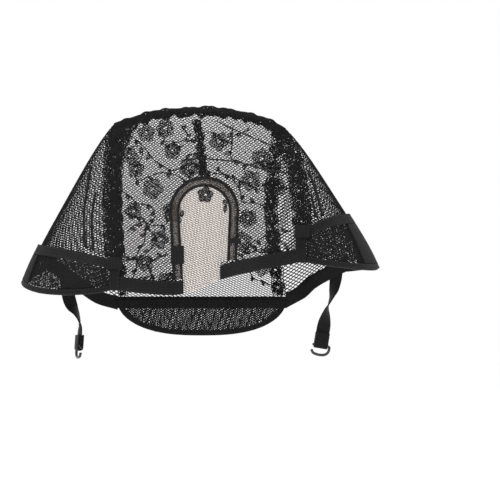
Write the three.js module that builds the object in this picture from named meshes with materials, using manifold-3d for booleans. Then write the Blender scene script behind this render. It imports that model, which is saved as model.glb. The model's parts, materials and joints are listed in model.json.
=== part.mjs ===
// Wig cap with a U-shaped part, upright as a head holds it. Millimetres, X to the wearer's left,
// Y to the back, Z up, and the origin at the inner apex of the crown.
import * as THREE from 'three';
import Module from 'manifold-3d';

const wasm = await Module();
wasm.setup();

// Layers. Each is measured outwards from the head side of the nets.
const NET = 1; // wall of every net and lace
const TAPE = 1.2; // wall of every woven tape
const LAYER_GAP = 0.6; // between a layer and the one sewn over it
const SEAM = 0.3; // between two pieces that meet edge to edge
const OVER = NET + LAYER_GAP; // where the second layer starts
const TOP = OVER + TAPE + LAYER_GAP; // where the third layer starts

// Crown.
const FRONT_DEPTH = 50; // from the crest to the forehead
const BACK_DEPTH = 52; // from the crest to the back of the head
const CREST_REACH = 75; // height over which the crown rounds over
const SIDE_REACH = 105; // width over which each side rounds over
const CREST_POWER = 2.2; // flatness of the crest seen from the front
const SIDE_BULGE = 3; // of each side line off straight
const NAPE_TUCK = 0.14; // share by which the nape draws in to the neck
const TUCK_FROM = -105; // height where that starts
const LEFT = { sign: -1, crest: [-63.5, -12], tip: [-127.6, -126.6] };
const RIGHT = { sign: 1, crest: [61.8, -15.3], tip: [126.8, -116] };
const AXIS = new THREE.Vector3(0, 0, -80); // a point inside the cap

// Hems and tapes.
const BAND_HEIGHT = 10; // front elastic bands
const NAPE_JOIN = -138.5; // height where crown and nape meet
const NAPE_TAPE = [-136.5, -145]; // top and foot of the tape over that join
const NAPE_HALF = 62; // half width of the nape piece
const NAPE_FOOT = -165.3;
const NAPE_POWER = 2.6; // fullness of its rounded edge
const BINDING = 4; // width of the bound nape edge
const BACK_TAPE = 9.6; // width of the tapes from nape to ear
const HEM = 4; // turned hem of each ear tab
const TAB_TAPE = 7; // tape along each tab's top
const JOINT = 7.3; // width of the tape over each tab's front joint
const BAR_TACK = { count: 6, pitch: 14.2, width: 1.6, height: 0.8, inset: 1, centre: 6.5 };
const NAPE_TAPE_HALF = 60.8; // half length of the nape tape
const BACK_TAPE_START = 61.5; // X where each back tape meets it
const FLAP_GAP = 0.7; // between a tab's flap and the back tape that meets it
const PATCH = { left: 4.6, right: 5.4, height: 8.6, lift: 0.8 }; // on each tab's front joint

// Lace.
const CREST_BAND = 7; // fall of the crest lace on each side of the crest
const RUFFLE = 0.4; // half the height of the crest lace's ruffles
const CREST_SCALLOPS = 10;
const SCALLOP = 0.8; // depth of a lace band's scallops
const STRIP = 6.5; // width of the centre lace strip
const CREST_STRIP_X = -3.6; // where that strip leaves the crest
const ROSETTE = { x: 3.6, z: -62.3, eye: 1.6, reach: 4.6, lobe: 0.9, petals: 5 };

// Part opening.
const U_CENTRE = 2.8; // X of the opening's middle
const U_RADIUS = 21; // to the middle of the casing
const U_SPRING = -74.2; // height where the legs meet the arch
const LEG_X = [-15.6, 22.5]; // where each leg meets its front band
const BAND_ENDS = [-11.9, 14.1]; // X where the front bands stop at the opening
const CASING = 7; // width of the casing
const PIPING = 1.2; // width of each dark edge of the casing

const TACK_LEFT = { x: [-20.6, -11.4], z: [-98.5, -111.5] }; // dark patch on the left leg
const TACK_RIGHT = { x: [19.8, 28], z: [-93.4, -97] }; // dark bar on the right leg

// Straps and hooks.
const STRAP = 10;
const STRAP_WALL = 1;
const STRAP_SWING = 5; // a strap's end hangs this much nearer the neck than its top
const WIRE = 0.9; // radius of the hook's wire
const LOOP_LEG = 9.5; // length of the strap's folded end

// Straps: X, Z of the middle line and the angle of the width, in degrees from X. The first two rows
// lie on the back tape, where the strap is sewn.
const STRAP_LEFT = [
  [-99, -118, 27], [-99, -127, 27], [-97, -138, 20], [-94.7, -144, 35], [-91.5, -149.2, 70],
  [-89.1, -155.7, 92], [-88.9, -161, 106], [-89.6, -171.9, 106],
];
const STRAP_RIGHT = [
  [99, -111, -27], [98.5, -122, -30], [97, -131.5, -50], [95.4, -136.9, -75], [92.9, -143.1, -92],
  [91.8, -147, -112], [90.5, -153.2, -142], [89.4, -159, -168], [87.6, -170.2, -168],
];

// Middle line of a hook's wire from its bar: across the strap, down along it.
const HOOK = [
  [-6.3, 0], [6.2, 0], [6.7, 1.9], [5.9, 4.7], [3.4, 6.5], [-1.2, 6.9], [-4.9, 6], [-6.4, 3.9],
];

// Hem of the crown front: X, Z.
const FRONT_HEM = curve([
  [-61, -130], [-38, -132.8], [-12, -132.8], [14, -122.6], [43, -115.8], [71, -110.6],
]);

// Foot of each leg of the opening, just above the front band.
const U_LEGS = LEG_X.map((x) => {
  const hem = Math.max(FRONT_HEM(x - CASING / 2), FRONT_HEM(x + CASING / 2));
  return [x, hem + BAND_HEIGHT + SEAM];
});

// Seams between the panels: share of the way down, X.
const FRONT_LEFT = {
  side: LEFT, back: -1, x: curve([[0, -60], [0.41, -63], [0.85, -60.7], [1, -60.9]]),
};
const FRONT_RIGHT = {
  side: RIGHT, back: -1, x: curve([[0, 58.8], [0.41, 69.6], [0.81, 72.8], [1, 71.3]]),
};
const BACK_LEFT = { side: LEFT, back: 1, x: curve([[0, -60], [0.5, -62], [1, -57.3]]) };
const BACK_RIGHT = { side: RIGHT, back: 1, x: curve([[0, 56], [0.45, 50.7], [1, 57]]) };

// Middle line of each back tape: X, Z.
const TAPE_LEFT = curve([
  [-112, -110.6], [-103, -117], [-87, -129], [-75, -137], [-61.3, -141.3],
]);
const TAPE_RIGHT = curve([[61.3, -139.8], [73, -133], [82, -125.4], [94, -118.6], [107.5, -112]]);

// Dark seams down the side nets, rows of Z, X.
const SIDE_SEAM = 1.4; // width
const SIDE_SEAMS = {
  side_seam_left_1: [[-42, -78.4], [-64, -81.8], [-77, -83.3], [-100, -82]],
  side_seam_left_2: [[-61, -74.9], [-80, -77.5], [-102, -76.5]],
  side_seam_right_1: [[-45, 76.6], [-58, 81.8], [-77, 86.8]],
  side_seam_right_2: [[-62, 78.8], [-79, 82.6]],
};

// Ear tabs. joint is the X of the front joint, top and foot its heights, and fold the share of the
// side line where the tab's top crosses it. The lace band ends lace above the top. The woven part
// starts at edge, on roundSide's scale. A bow's rise and fall say how steep it is at each end.
const TAB_LEFT = {
  side: LEFT, tape: TAPE_LEFT, joint: -60.9, top: -107.9, foot: -130.6, fold: 0.772,
  lace: 1.6, edge: -0.25, flap: [-112, -104.8],
  over: { bow: 1, rise: 1, fall: 1.5 }, under: { bow: -6, rise: 0.4, fall: 0.8 },
};
const TAB_RIGHT = {
  side: RIGHT, tape: TAPE_RIGHT, joint: 71.3, top: -87, foot: -110.8, fold: 0.63,
  lace: 3, edge: -0.42, flap: [105, -91],
  over: { bow: 2.8, rise: 1, fall: 1 }, under: { bow: -1.7, rise: 0.3, fall: 0.9 },
};
const TAB_EDGE_GAP = 0.012; // between net and woven part, on the same scale
const WOVEN_END = 0.75; // where the woven part ends, on the same scale

// Bow of a side net's foot behind the fold.
const BACK_RISE = { bow: 11, rise: 1, fall: 1.8 };

const MATERIALS = {
  lace: { color: 0x232326, roughness: 0.95 },
  net: { color: 0x2a2a2d, roughness: 0.95 },
  elastic: { color: 0x1b1b1d, roughness: 0.85 },
  binding: { color: 0x222225, roughness: 0.8 },
  parting: { color: 0xdcc8ba, roughness: 0.9 },
  casing: { color: 0x75695e, roughness: 0.8 },
  metal: { color: 0x4a4a4e, roughness: 0.35, metalness: 0.9 },
};

function lerp(a, b, t) {
  return a + (b - a) * t;
}

// A smooth curve through rows of [where, value], straight beyond its ends.
function curve(rows) {
  const last = rows.length - 1;
  const slopes = rows.map((row, i) => {
    const [a, b] = [rows[Math.max(i - 1, 0)], rows[Math.min(i + 1, last)]];
    return (b[1] - a[1]) / (b[0] - a[0]);
  });
  return (at) => {
    if (at <= rows[0][0]) return rows[0][1] + slopes[0] * (at - rows[0][0]);
    if (at >= rows[last][0]) return rows[last][1] + slopes[last] * (at - rows[last][0]);
    const i = rows.findIndex((row) => row[0] > at) - 1;
    const run = rows[i + 1][0] - rows[i][0];
    const t = (at - rows[i][0]) / run;
    return (1 + 2 * t) * (1 - t) ** 2 * rows[i][1] + t * t * (3 - 2 * t) * rows[i + 1][1]
      + run * t * (1 - t) * ((1 - t) * slopes[i] - t * slopes[i + 1]);
  };
}

// The crest line seen from the front, carried on straight past its corners.
function crestZ(x) {
  const [cornerX, cornerZ] = x < 0 ? LEFT.crest : RIGHT.crest;
  const share = x / cornerX;
  return share < 1 ? cornerZ * share ** CREST_POWER : cornerZ * (1 + CREST_POWER * (share - 1));
}

// A side line's point at a share of the way from crest to tip, and its outward normal.
function sidePoint(side, share) {
  const [x, z, nx, nz] = sideChord(side, share);
  const bulge = SIDE_BULGE * Math.max(0, 1 - (2 * share - 1) ** 4);
  return [x + nx * bulge, z + nz * bulge];
}

function sideChord(side, share) {
  const run = [side.tip[0] - side.crest[0], side.tip[1] - side.crest[1]];
  const length = Math.hypot(...run);
  return [side.crest[0] + run[0] * share, side.crest[1] + run[1] * share,
    -side.sign * run[1] / length, side.sign * run[0] / length];
}

// How far a point of the front view lies inside a side line.
function insideSide(side, x, z) {
  const run = [side.tip[0] - side.crest[0], side.tip[1] - side.crest[1]];
  const along = (x - side.crest[0]) * run[0] + (z - side.crest[1]) * run[1];
  const share = along / (run[0] ** 2 + run[1] ** 2);
  const [px, pz] = sidePoint(side, share);
  const [, , nx, nz] = sideChord(side, share);
  return (px - x) * nx + (pz - z) * nz;
}

function roundOver(distance, reach) {
  const share = Math.min(Math.max(distance / reach, 0), 1);
  return Math.sqrt(1 - (1 - share) ** 2);
}

// The cap's head side at a point of the front view: back is 1 behind the crest and -1 before it.
function capPoint(x, z, back) {
  const tuck = back > 0 ? 1 - NAPE_TUCK * THREE.MathUtils.smoothstep(-z, -TUCK_FROM, -NAPE_FOOT) : 1;
  const depth = (back > 0 ? BACK_DEPTH : FRONT_DEPTH) * tuck * roundOver(crestZ(x) - z, CREST_REACH)
    * roundOver(insideSide(LEFT, x, z), SIDE_REACH) * roundOver(insideSide(RIGHT, x, z), SIDE_REACH);
  return new THREE.Vector3(x, back * depth, z);
}

// A closed wall over place(u, v), from one height to another above that surface. A round one
// joins up with itself in v.
function wall(place, across, along, from, to, round = false) {
  const step = 1e-4;
  const change = (at) => at(1).sub(at(-1));
  const within = (t, sign) => Math.min(Math.max(t + sign * step, 0), 1);
  const normalAt = (u, v) => new THREE.Vector3().crossVectors(
    change((sign) => place(within(u, sign), v)), change((sign) => place(u, within(v, sign)))).normalize();
  const facing = Math.sign(normalAt(0.5, 0.5).dot(place(0.5, 0.5).sub(AXIS)));
  const positions = [];
  for (const height of [to, from]) {
    for (let j = 0; j <= along; j++) {
      for (let i = 0; i <= across; i++) {
        const [u, v] = [i / across, j / along];
        positions.push(...place(u, v).addScaledVector(normalAt(u, v), facing * height));
      }
    }
  }
  const layer = (across + 1) * (along + 1);
  const at = (i, j) => (round ? j % along : j) * (across + 1) + i;
  const triangles = [];
  for (let j = 0; j < along; j++) {
    for (let i = 0; i < across; i++) {
      const [a, b, c, d] = [at(i, j), at(i + 1, j), at(i + 1, j + 1), at(i, j + 1)];
      triangles.push(a, b, c, a, c, d);
      // The inner face keeps the outer one's diagonal, so the wall has one thickness.
      triangles.push(...[a, c, b, a, d, c].map((k) => k + layer));
    }
  }
  const border = (a, b) => triangles.push(a, a + layer, b + layer, a, b + layer, b);
  for (let j = 0; j < along; j++) {
    border(at(across, j), at(across, j + 1));
    border(at(0, j + 1), at(0, j));
  }
  for (let i = 0; i < across && !round; i++) {
    border(at(i, 0), at(i + 1, 0));
    border(at(i + 1, along), at(i, along));
  }
  return solid(positions, triangles);
}

// A closed solid, its faces turned outwards.
function solid(positions, triangles) {
  const corner = (k) => new THREE.Vector3().fromArray(positions, 3 * triangles[k]);
  let volume = 0;
  for (let k = 0; k < triangles.length; k += 3) {
    volume += corner(k).dot(corner(k + 1).cross(corner(k + 2)));
  }
  if (volume < 0) triangles.reverse();
  const geometry = new THREE.BufferGeometry();
  geometry.setAttribute('position', new THREE.Float32BufferAttribute(positions, 3));
  geometry.setIndex(triangles);
  return geometry;
}

// A prism over a flat outline, put in place by place(a, b, height).
function prism(outline, place, from, to) {
  const points = outline.map(([a, b]) => new THREE.Vector2(a, b));
  if (THREE.ShapeUtils.isClockWise(points)) points.reverse();
  const faces = THREE.ShapeUtils.triangulateShape(points, []);
  const n = points.length;
  const positions = [from, to].flatMap((h) => points.flatMap((p) => [...place(p.x, p.y, h)]));
  const triangles = faces.flatMap(([a, b, c]) => [a, c, b, a + n, b + n, c + n]);
  for (let a = 0; a < n; a++) {
    const b = (a + 1) % n;
    triangles.push(a, b, b + n, a, b + n, a + n);
  }
  return solid(positions, triangles);
}

// A ribbon or wire: the same cross-section carried along frames of {at, side, out}.
function sweep(section, frames) {
  const n = section.length;
  const positions = frames.flatMap(({ at, side, out }) => section.flatMap(([a, b]) => [
    ...at.clone().addScaledVector(side, a).addScaledVector(out, b)]));
  const triangles = [];
  for (let j = 0; j + 1 < frames.length; j++) {
    for (let a = 0; a < n; a++) {
      const b = (a + 1) % n;
      triangles.push(j * n + a, j * n + b, (j + 1) * n + b, j * n + a, (j + 1) * n + b, (j + 1) * n + a);
    }
  }
  const end = (frames.length - 1) * n;
  for (let a = 1; a + 1 < n; a++) triangles.push(0, a + 1, a, end, end + a, end + a + 1);
  return solid(positions, triangles);
}

function toManifold(geometry) {
  const mesh = new wasm.Mesh({
    numProp: 3,
    vertProperties: Float32Array.from(geometry.getAttribute('position').array),
    triVerts: Uint32Array.from(geometry.getIndex().array),
  });
  mesh.merge();
  return new wasm.Manifold(mesh);
}

function fromManifold(manifold) {
  const mesh = manifold.getMesh();
  return solid([...mesh.vertProperties], [...mesh.triVerts]);
}

const group = new THREE.Group();
group.name = 'wig_cap';

function add(name, finish, geometry) {
  const mesh = new THREE.Mesh(geometry, new THREE.MeshStandardMaterial(MATERIALS[finish]));
  mesh.name = name;
  group.add(mesh);
}

// A lace band's seam line at a share of the way down.
function seamPoint(band, share) {
  const foot = band.back > 0 ? NAPE_JOIN : FRONT_HEM(band.x(1));
  return [band.x(share), lerp(crestZ(band.x(0)), foot, share)];
}

// The share of the way down a seam at which it reaches a height.
function seamShare(band, z) {
  const [, top] = seamPoint(band, 0);
  return (z - top) / (seamPoint(band, 1)[1] - top);
}

// Crown panels run from the crest to a hem, between two seams.
function crownPlace(left, right, hem) {
  const back = left.back;
  const first = 0.008; // keeps the two panels a seam apart along the crest
  return (u, v) => {
    const down = lerp(first, 1, v) ** 1.75;
    const inset = SEAM / 2;
    const x = lerp(left.x(down) + inset, right.x(down) - inset, u);
    const top = crestZ(lerp(left.x(0), right.x(0), u));
    return capPoint(x, lerp(top, hem(lerp(left.x(1), right.x(1), u)), down), back);
  };
}

// The casing's middle line and outward normal, at a share of its length from the left foot.
function casingLine(share) {
  const legs = U_LEGS.map(([x, z], i) => [x - (U_CENTRE + (i ? U_RADIUS : -U_RADIUS)), z - U_SPRING]);
  const lengths = [Math.hypot(...legs[0]), Math.PI * U_RADIUS, Math.hypot(...legs[1])];
  const at = share * (lengths[0] + lengths[1] + lengths[2]);
  if (at > lengths[0] && at < lengths[0] + lengths[1]) {
    const angle = Math.PI - (at - lengths[0]) / U_RADIUS;
    const normal = [Math.cos(angle), Math.sin(angle)];
    return [U_CENTRE + U_RADIUS * normal[0], U_SPRING + U_RADIUS * normal[1], ...normal];
  }
  const i = at <= lengths[0] ? 0 : 1;
  const down = i ? at - lengths[0] - lengths[1] : lengths[0] - at;
  const [dx, dz] = [legs[i][0] / lengths[2 * i], legs[i][1] / lengths[2 * i]];
  const sign = i ? 1 : -1;
  return [U_CENTRE + sign * U_RADIUS + dx * down, U_SPRING + dz * down, -sign * dz, sign * dx];
}

// The opening's outline in the front view, drawn in by an inset.
function openingOutline(inset) {
  const steps = 28;
  const outline = [];
  for (let i = 0; i <= steps; i++) {
    const [x, z, nx, nz] = casingLine(i / steps);
    outline.push([x - nx * inset, z - nz * inset]);
  }
  const below = NAPE_FOOT;
  outline.push([U_LEGS[1][0] - inset, U_LEGS[1][1] - 1], [BAND_ENDS[1] - inset, U_LEGS[1][1] - 1.5],
    [BAND_ENDS[1] - inset, below], [BAND_ENDS[0] + inset, below],
    [BAND_ENDS[0] + inset, U_LEGS[0][1] - 1.5], [U_LEGS[0][0] + inset, U_LEGS[0][1] - 1]);
  return outline;
}

function addCrown() {
  const front = toManifold(wall(crownPlace(FRONT_LEFT, FRONT_RIGHT, FRONT_HEM), 14, 13, 0, NET));
  const forwards = (a, b, h) => new THREE.Vector3(a, -h, b);
  const cutter = (inset) => toManifold(prism(openingOutline(inset), forwards, 0, 2 * FRONT_DEPTH));
  add('crown_lace_front', 'lace', fromManifold(front.subtract(cutter(0))));
  add('parting_net', 'parting', fromManifold(front.intersect(cutter(SEAM))));
  const backHem = () => NAPE_JOIN + SEAM / 2;
  add('crown_lace_back', 'lace', wall(crownPlace(BACK_LEFT, BACK_RIGHT, backHem), 12, 12, 0, NET));
}

// A strip along a line of the front view: line(share) gives X, Z and the normal across it.
function stripPlace(line, from, to, back) {
  return (u, v) => {
    const [x, z, nx, nz] = line(v);
    const off = lerp(from, to, u);
    return capPoint(x + nx * off, z + nz * off, back);
  };
}

function addCasing() {
  const strip = (from, to) => wall(stripPlace(casingLine, from, to, -1), 1, 30, OVER, OVER + NET);
  add('part_casing', 'casing', strip(-CASING / 2 + PIPING + SEAM, CASING / 2 - PIPING - SEAM));
  add('casing_edge_outer', 'elastic', strip(CASING / 2 - PIPING, CASING / 2));
  add('casing_edge_inner', 'elastic', strip(-CASING / 2, -CASING / 2 + PIPING));
  add('casing_tack_left', 'elastic', patch(TACK_LEFT.x, TACK_LEFT.z));
  add('casing_tack_right', 'elastic', patch(TACK_RIGHT.x, TACK_RIGHT.z));
}

// A small upright rectangle on the third layer of the front.
function patch([x0, x1], [z0, z1]) {
  return wall((u, v) => capPoint(lerp(x0, x1, u), lerp(z0, z1, v), -1), 2, 2, TOP, TOP + NET);
}

// A lace band over a seam, with scalloped edges.
function lacePlace(band, from, to, width, scallops) {
  return (u, v) => {
    const share = lerp(from, to, v);
    const [x, z] = seamPoint(band, share);
    const half = width(v) / 2 - SCALLOP * (1 - Math.abs(Math.sin(Math.PI * scallops * v)));
    return capPoint(x + (2 * u - 1) * half, z, band.back);
  };
}

function addLace() {
  const flared = (top, foot) => (v) => lerp(foot, top, Math.max(0, 1 - 4 * v));
  const bands = [
    ['lace_band_front_left', FRONT_LEFT, TAB_LEFT.top + TAB_LEFT.lace, flared(17, 14.5), 9],
    ['lace_band_front_right', FRONT_RIGHT, TAB_RIGHT.top + TAB_RIGHT.lace, flared(13.5, 12.5), 7],
    ['lace_band_back_left', BACK_LEFT, NAPE_TAPE[0] + SEAM, flared(12, 8), 10],
    ['lace_band_back_right', BACK_RIGHT, NAPE_TAPE[0] + SEAM, flared(10, 8), 10],
  ];
  for (const [name, band, foot, width, scallops] of bands) {
    const outer = band.x(0) + band.side.sign * width(0) / 2;
    const top = seamShare(band, crestZ(outer) - CREST_BAND - 1);
    add(name, 'lace', wall(lacePlace(band, top, seamShare(band, foot), width, scallops),
      2, 3 * scallops, OVER, OVER + NET));
  }
  const [apexX, apexZ] = [U_CENTRE - 0.3, U_SPRING + U_RADIUS + CASING / 2 + SEAM];
  const strip = (u, v) => {
    const z = lerp(-CREST_BAND - 1.5, apexZ, v);
    const half = STRIP / 2 - 0.75 * SCALLOP * (1 - Math.abs(Math.sin(5 * Math.PI * v)));
    return capPoint(lerp(CREST_STRIP_X, apexX, v ** 0.7) + (2 * u - 1) * half, z, -1);
  };
  add('centre_lace_strip', 'lace', wall(strip, 1, 20, OVER, OVER + NET));
  const { petals, eye, lobe } = ROSETTE;
  const rosette = (u, v) => {
    const angle = 2 * Math.PI * v;
    const reach = lerp(eye, ROSETTE.reach + lobe * Math.cos(petals * angle), u);
    return capPoint(ROSETTE.x + reach * Math.cos(angle), ROSETTE.z + reach * Math.sin(angle), -1);
  };
  add('apex_rosette', 'lace', wall(rosette, 1, 5 * petals, OVER, OVER + NET, true));
  add('crest_lace_band', 'lace', wall(crestPlace, 30, 4, OVER, OVER + NET));
}

// The crest lace, from its front edge over the crest to its back edge, ruffled and scalloped.
function crestPlace(u, v) {
  const end = 2; // the lace stops this far short of the crest's corners
  const x = lerp(LEFT.crest[0] + end, RIGHT.crest[0] - end, u);
  const w = 2 * v - 1;
  const wave = Math.sin(CREST_SCALLOPS * Math.PI * u);
  const fall = CREST_BAND - 1.5 * SCALLOP * Math.abs(wave);
  const point = capPoint(x, crestZ(x) - fall * w * w, w < 0 ? -1 : 1);
  point.z += RUFFLE * (1 + wave) * (1 - w * w);
  return point;
}

// Bow of an edge between its fixed ends, 1 at its highest.
function bowAt({ bow, rise, fall }, share) {
  const peak = rise / (rise + fall);
  const shape = (t) => t ** rise * (1 - t) ** fall;
  return bow * shape(share) / shape(peak);
}

// A point round a side: w is -1 at the front seam, 0 on the fold and 1 at the back seam.
function roundSide(side, w, share, front, back) {
  const edge = sidePoint(side, share);
  const [x, z] = w < 0 ? front : back;
  return [lerp(edge[0], x, w * w), lerp(edge[1], z, w * w), w < 0 ? -1 : 1];
}

function sideNetPlace(front, back, tab) {
  const first = 0.02; // keeps the net's top corner as wide as a seam
  const last = 0.985; // keeps its foot inside the tab's hem
  const frontBow = { ...tab.under, bow: tab.under.bow + 1.5 };
  const inset = front.side.sign * SEAM / 2;
  const edge = (band, share) => {
    const [x, z] = seamPoint(band, share);
    return [x + inset, z];
  };
  return (u, v) => {
    const w = lerp(-1, 1, u);
    const down = v ** 1.3;
    const share = lerp(first, 1, down);
    const [x, z, facing] = roundSide(
      front.side, w, lerp(0, last, down), edge(front, share), edge(back, share));
    return capPoint(x, z + v ** 3 * bowAt(w < 0 ? frontBow : BACK_RISE, w * w), facing);
  };
}

// The tab between its top (v = 0) and foot (v = 1), from the front joint round to the flap's end.
function tabPoint(tab, w, v) {
  const inset = tab.side.sign * (JOINT / 2 + SEAM);
  const front = [tab.joint + inset, lerp(tab.top, tab.foot, v)];
  const half = BACK_TAPE / 2 * tapeStretch(tab.tape, tab.flap[0]);
  const [end, top] = tab.flap;
  const back = [end + tab.side.sign * FLAP_GAP, lerp(top, tab.tape(end) - half, v)];
  const [x, z, facing] = roundSide(tab.side, w, lerp(tab.fold, 1, v), front, back);
  const bow = w < 0 ? lerp(bowAt(tab.over, w * w), bowAt(tab.under, w * w), v) : 0;
  return [x, z + bow, facing];
}

// How much taller a slanting tape is than it is wide.
function tapeStretch(tape, x) {
  const slope = (tape(x + 1) - tape(x - 1)) / 2;
  return Math.hypot(1, slope);
}

// A wall round a tab, between two shares of its height. Each share is worked out from that height.
function tabWall(tab, from, to, layer, thickness, across, along, [start, end] = [-1, 1]) {
  return wall((u, v) => {
    const w = lerp(start, end, u);
    const height = tabPoint(tab, w, 0)[1] - tabPoint(tab, w, 1)[1];
    return capPoint(...tabPoint(tab, w, lerp(from(height), to(height), v)));
  }, across, along, layer, layer + thickness);
}

function addSide(name, front, back, tab) {
  add(`side_net_${name}`, 'net', wall(sideNetPlace(front, back, tab), 18, 10, 0, NET));
  const inside = [(h) => (TAB_TAPE + SEAM) / h, (h) => 1 - (HEM + SEAM) / h];
  add(`tab_tape_${name}`, 'elastic',
    tabWall(tab, () => 0, (h) => TAB_TAPE / h, OVER, TAPE, 18, 3));
  add(`ear_tab_${name}`, 'net',
    tabWall(tab, ...inside, OVER, NET, 10, 3, [-1, tab.edge]));
  add(`tab_fold_${name}`, 'elastic',
    tabWall(tab, ...inside, OVER, TAPE, 8, 3, [tab.edge + TAB_EDGE_GAP, WOVEN_END]));
  add(`tab_hem_${name}`, 'binding',
    tabWall(tab, (h) => 1 - HEM / h, () => 1, OVER, TAPE, 20, 1));
  add(`tab_joint_${name}`, 'elastic', wall((u, v) =>
    capPoint(tab.joint + (u - 0.5) * JOINT, lerp(tab.top, tab.foot, v), -1), 1, 4, OVER, OVER + TAPE));
  const patchTop = tab.top + tab.lace - PATCH.lift;
  add(`joint_patch_${name}`, 'elastic',
    patch([tab.joint - PATCH.left, tab.joint + PATCH.right], [patchTop, patchTop - PATCH.height]));
  const [from, to] = [tab.side.sign * BACK_TAPE_START, tab.flap[0]];
  add(`back_tape_${name}`, 'elastic', wall((u, v) => {
    const x = lerp(from, to, v);
    return capPoint(x, tab.tape(x) + (u - 0.5) * BACK_TAPE * tapeStretch(tab.tape, x), 1);
  }, 2, 10, OVER, OVER + TAPE));
}

// A front band from its joint tape to the part opening.
function addFrontBand(name, tab, end) {
  const start = tab.joint - tab.side.sign * (JOINT / 2 + SEAM);
  add(`front_band_${name}`, 'elastic', wall((u, v) => {
    const x = lerp(start, end, u);
    return capPoint(x, FRONT_HEM(x) + v * BAND_HEIGHT, -1);
  }, 8, 1, OVER, OVER + TAPE));
}

// A dark seam down a side net.
function addSeam(name, rows) {
  const [top, foot] = [rows[0][0], rows[rows.length - 1][0]];
  const x = curve(rows.map(([z, across]) => [-z, across]));
  add(name, 'elastic', wall((u, v) => {
    const z = lerp(top, foot, v);
    return capPoint(x(-z) + (u - 0.5) * SIDE_SEAM, z, -1);
  }, 1, 8, OVER, OVER + NET));
}

// The nape piece's rounded edge: depth below the join at X.
function napeFall(x) {
  return (NAPE_JOIN - NAPE_FOOT) * Math.sqrt(Math.max(0, 1 - Math.abs(x / NAPE_HALF) ** NAPE_POWER));
}

function addNape() {
  const reach = 0.95; // of the half width, as an angle, so that the corners keep some height
  const panel = (u, v) => {
    const x = NAPE_HALF * Math.sin((2 * u - 1) * reach * Math.PI / 2);
    return capPoint(x, lerp(NAPE_JOIN - SEAM / 2, NAPE_JOIN - napeFall(x), v), 1);
  };
  add('nape_panel', 'net', wall(panel, 16, 4, 0, NET));
  const [top, foot] = NAPE_TAPE;
  add('nape_tape', 'elastic', wall((u, v) =>
    capPoint((2 * u - 1) * NAPE_TAPE_HALF, lerp(top, foot, v), 1), 16, 1, OVER, OVER + TAPE));
  const widest = Math.acos((NAPE_JOIN - foot + SEAM + BINDING / 2) / (NAPE_JOIN - NAPE_FOOT));
  const edge = (angle) => {
    const x = NAPE_HALF * Math.sign(angle) * Math.abs(Math.sin(angle)) ** (2 / NAPE_POWER);
    return [x, NAPE_JOIN - (NAPE_JOIN - NAPE_FOOT) * Math.cos(angle)];
  };
  const binding = (u, v) => {
    const angle = lerp(-widest, widest, v);
    const [a, b] = [edge(angle - 0.01), edge(angle + 0.01)];
    const length = Math.hypot(b[0] - a[0], b[1] - a[1]);
    const inward = [-(b[1] - a[1]) / length, (b[0] - a[0]) / length];
    const [x, z] = edge(angle);
    return capPoint(x + inward[0] * BINDING * u, z + inward[1] * BINDING * u, 1);
  };
  add('nape_binding', 'binding', wall(binding, 1, 28, OVER, OVER + TAPE));
  const { count, pitch, width, height, inset, centre } = BAR_TACK;
  for (let i = 0; i < count; i++) {
    const x = centre + (i - (count - 1) / 2) * pitch;
    add(`bar_tack_${i + 1}`, 'binding', wall((u, v) =>
      capPoint(x + (u - 0.5) * width, lerp(top - inset, foot + inset, v), 1), 1, 1, TOP, TOP + height));
  }
}

function rectangle(width, height) {
  return [[-1, -1], [1, -1], [1, 1], [-1, 1]].map(([a, b]) => [a * width / 2, b * height / 2]);
}

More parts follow.
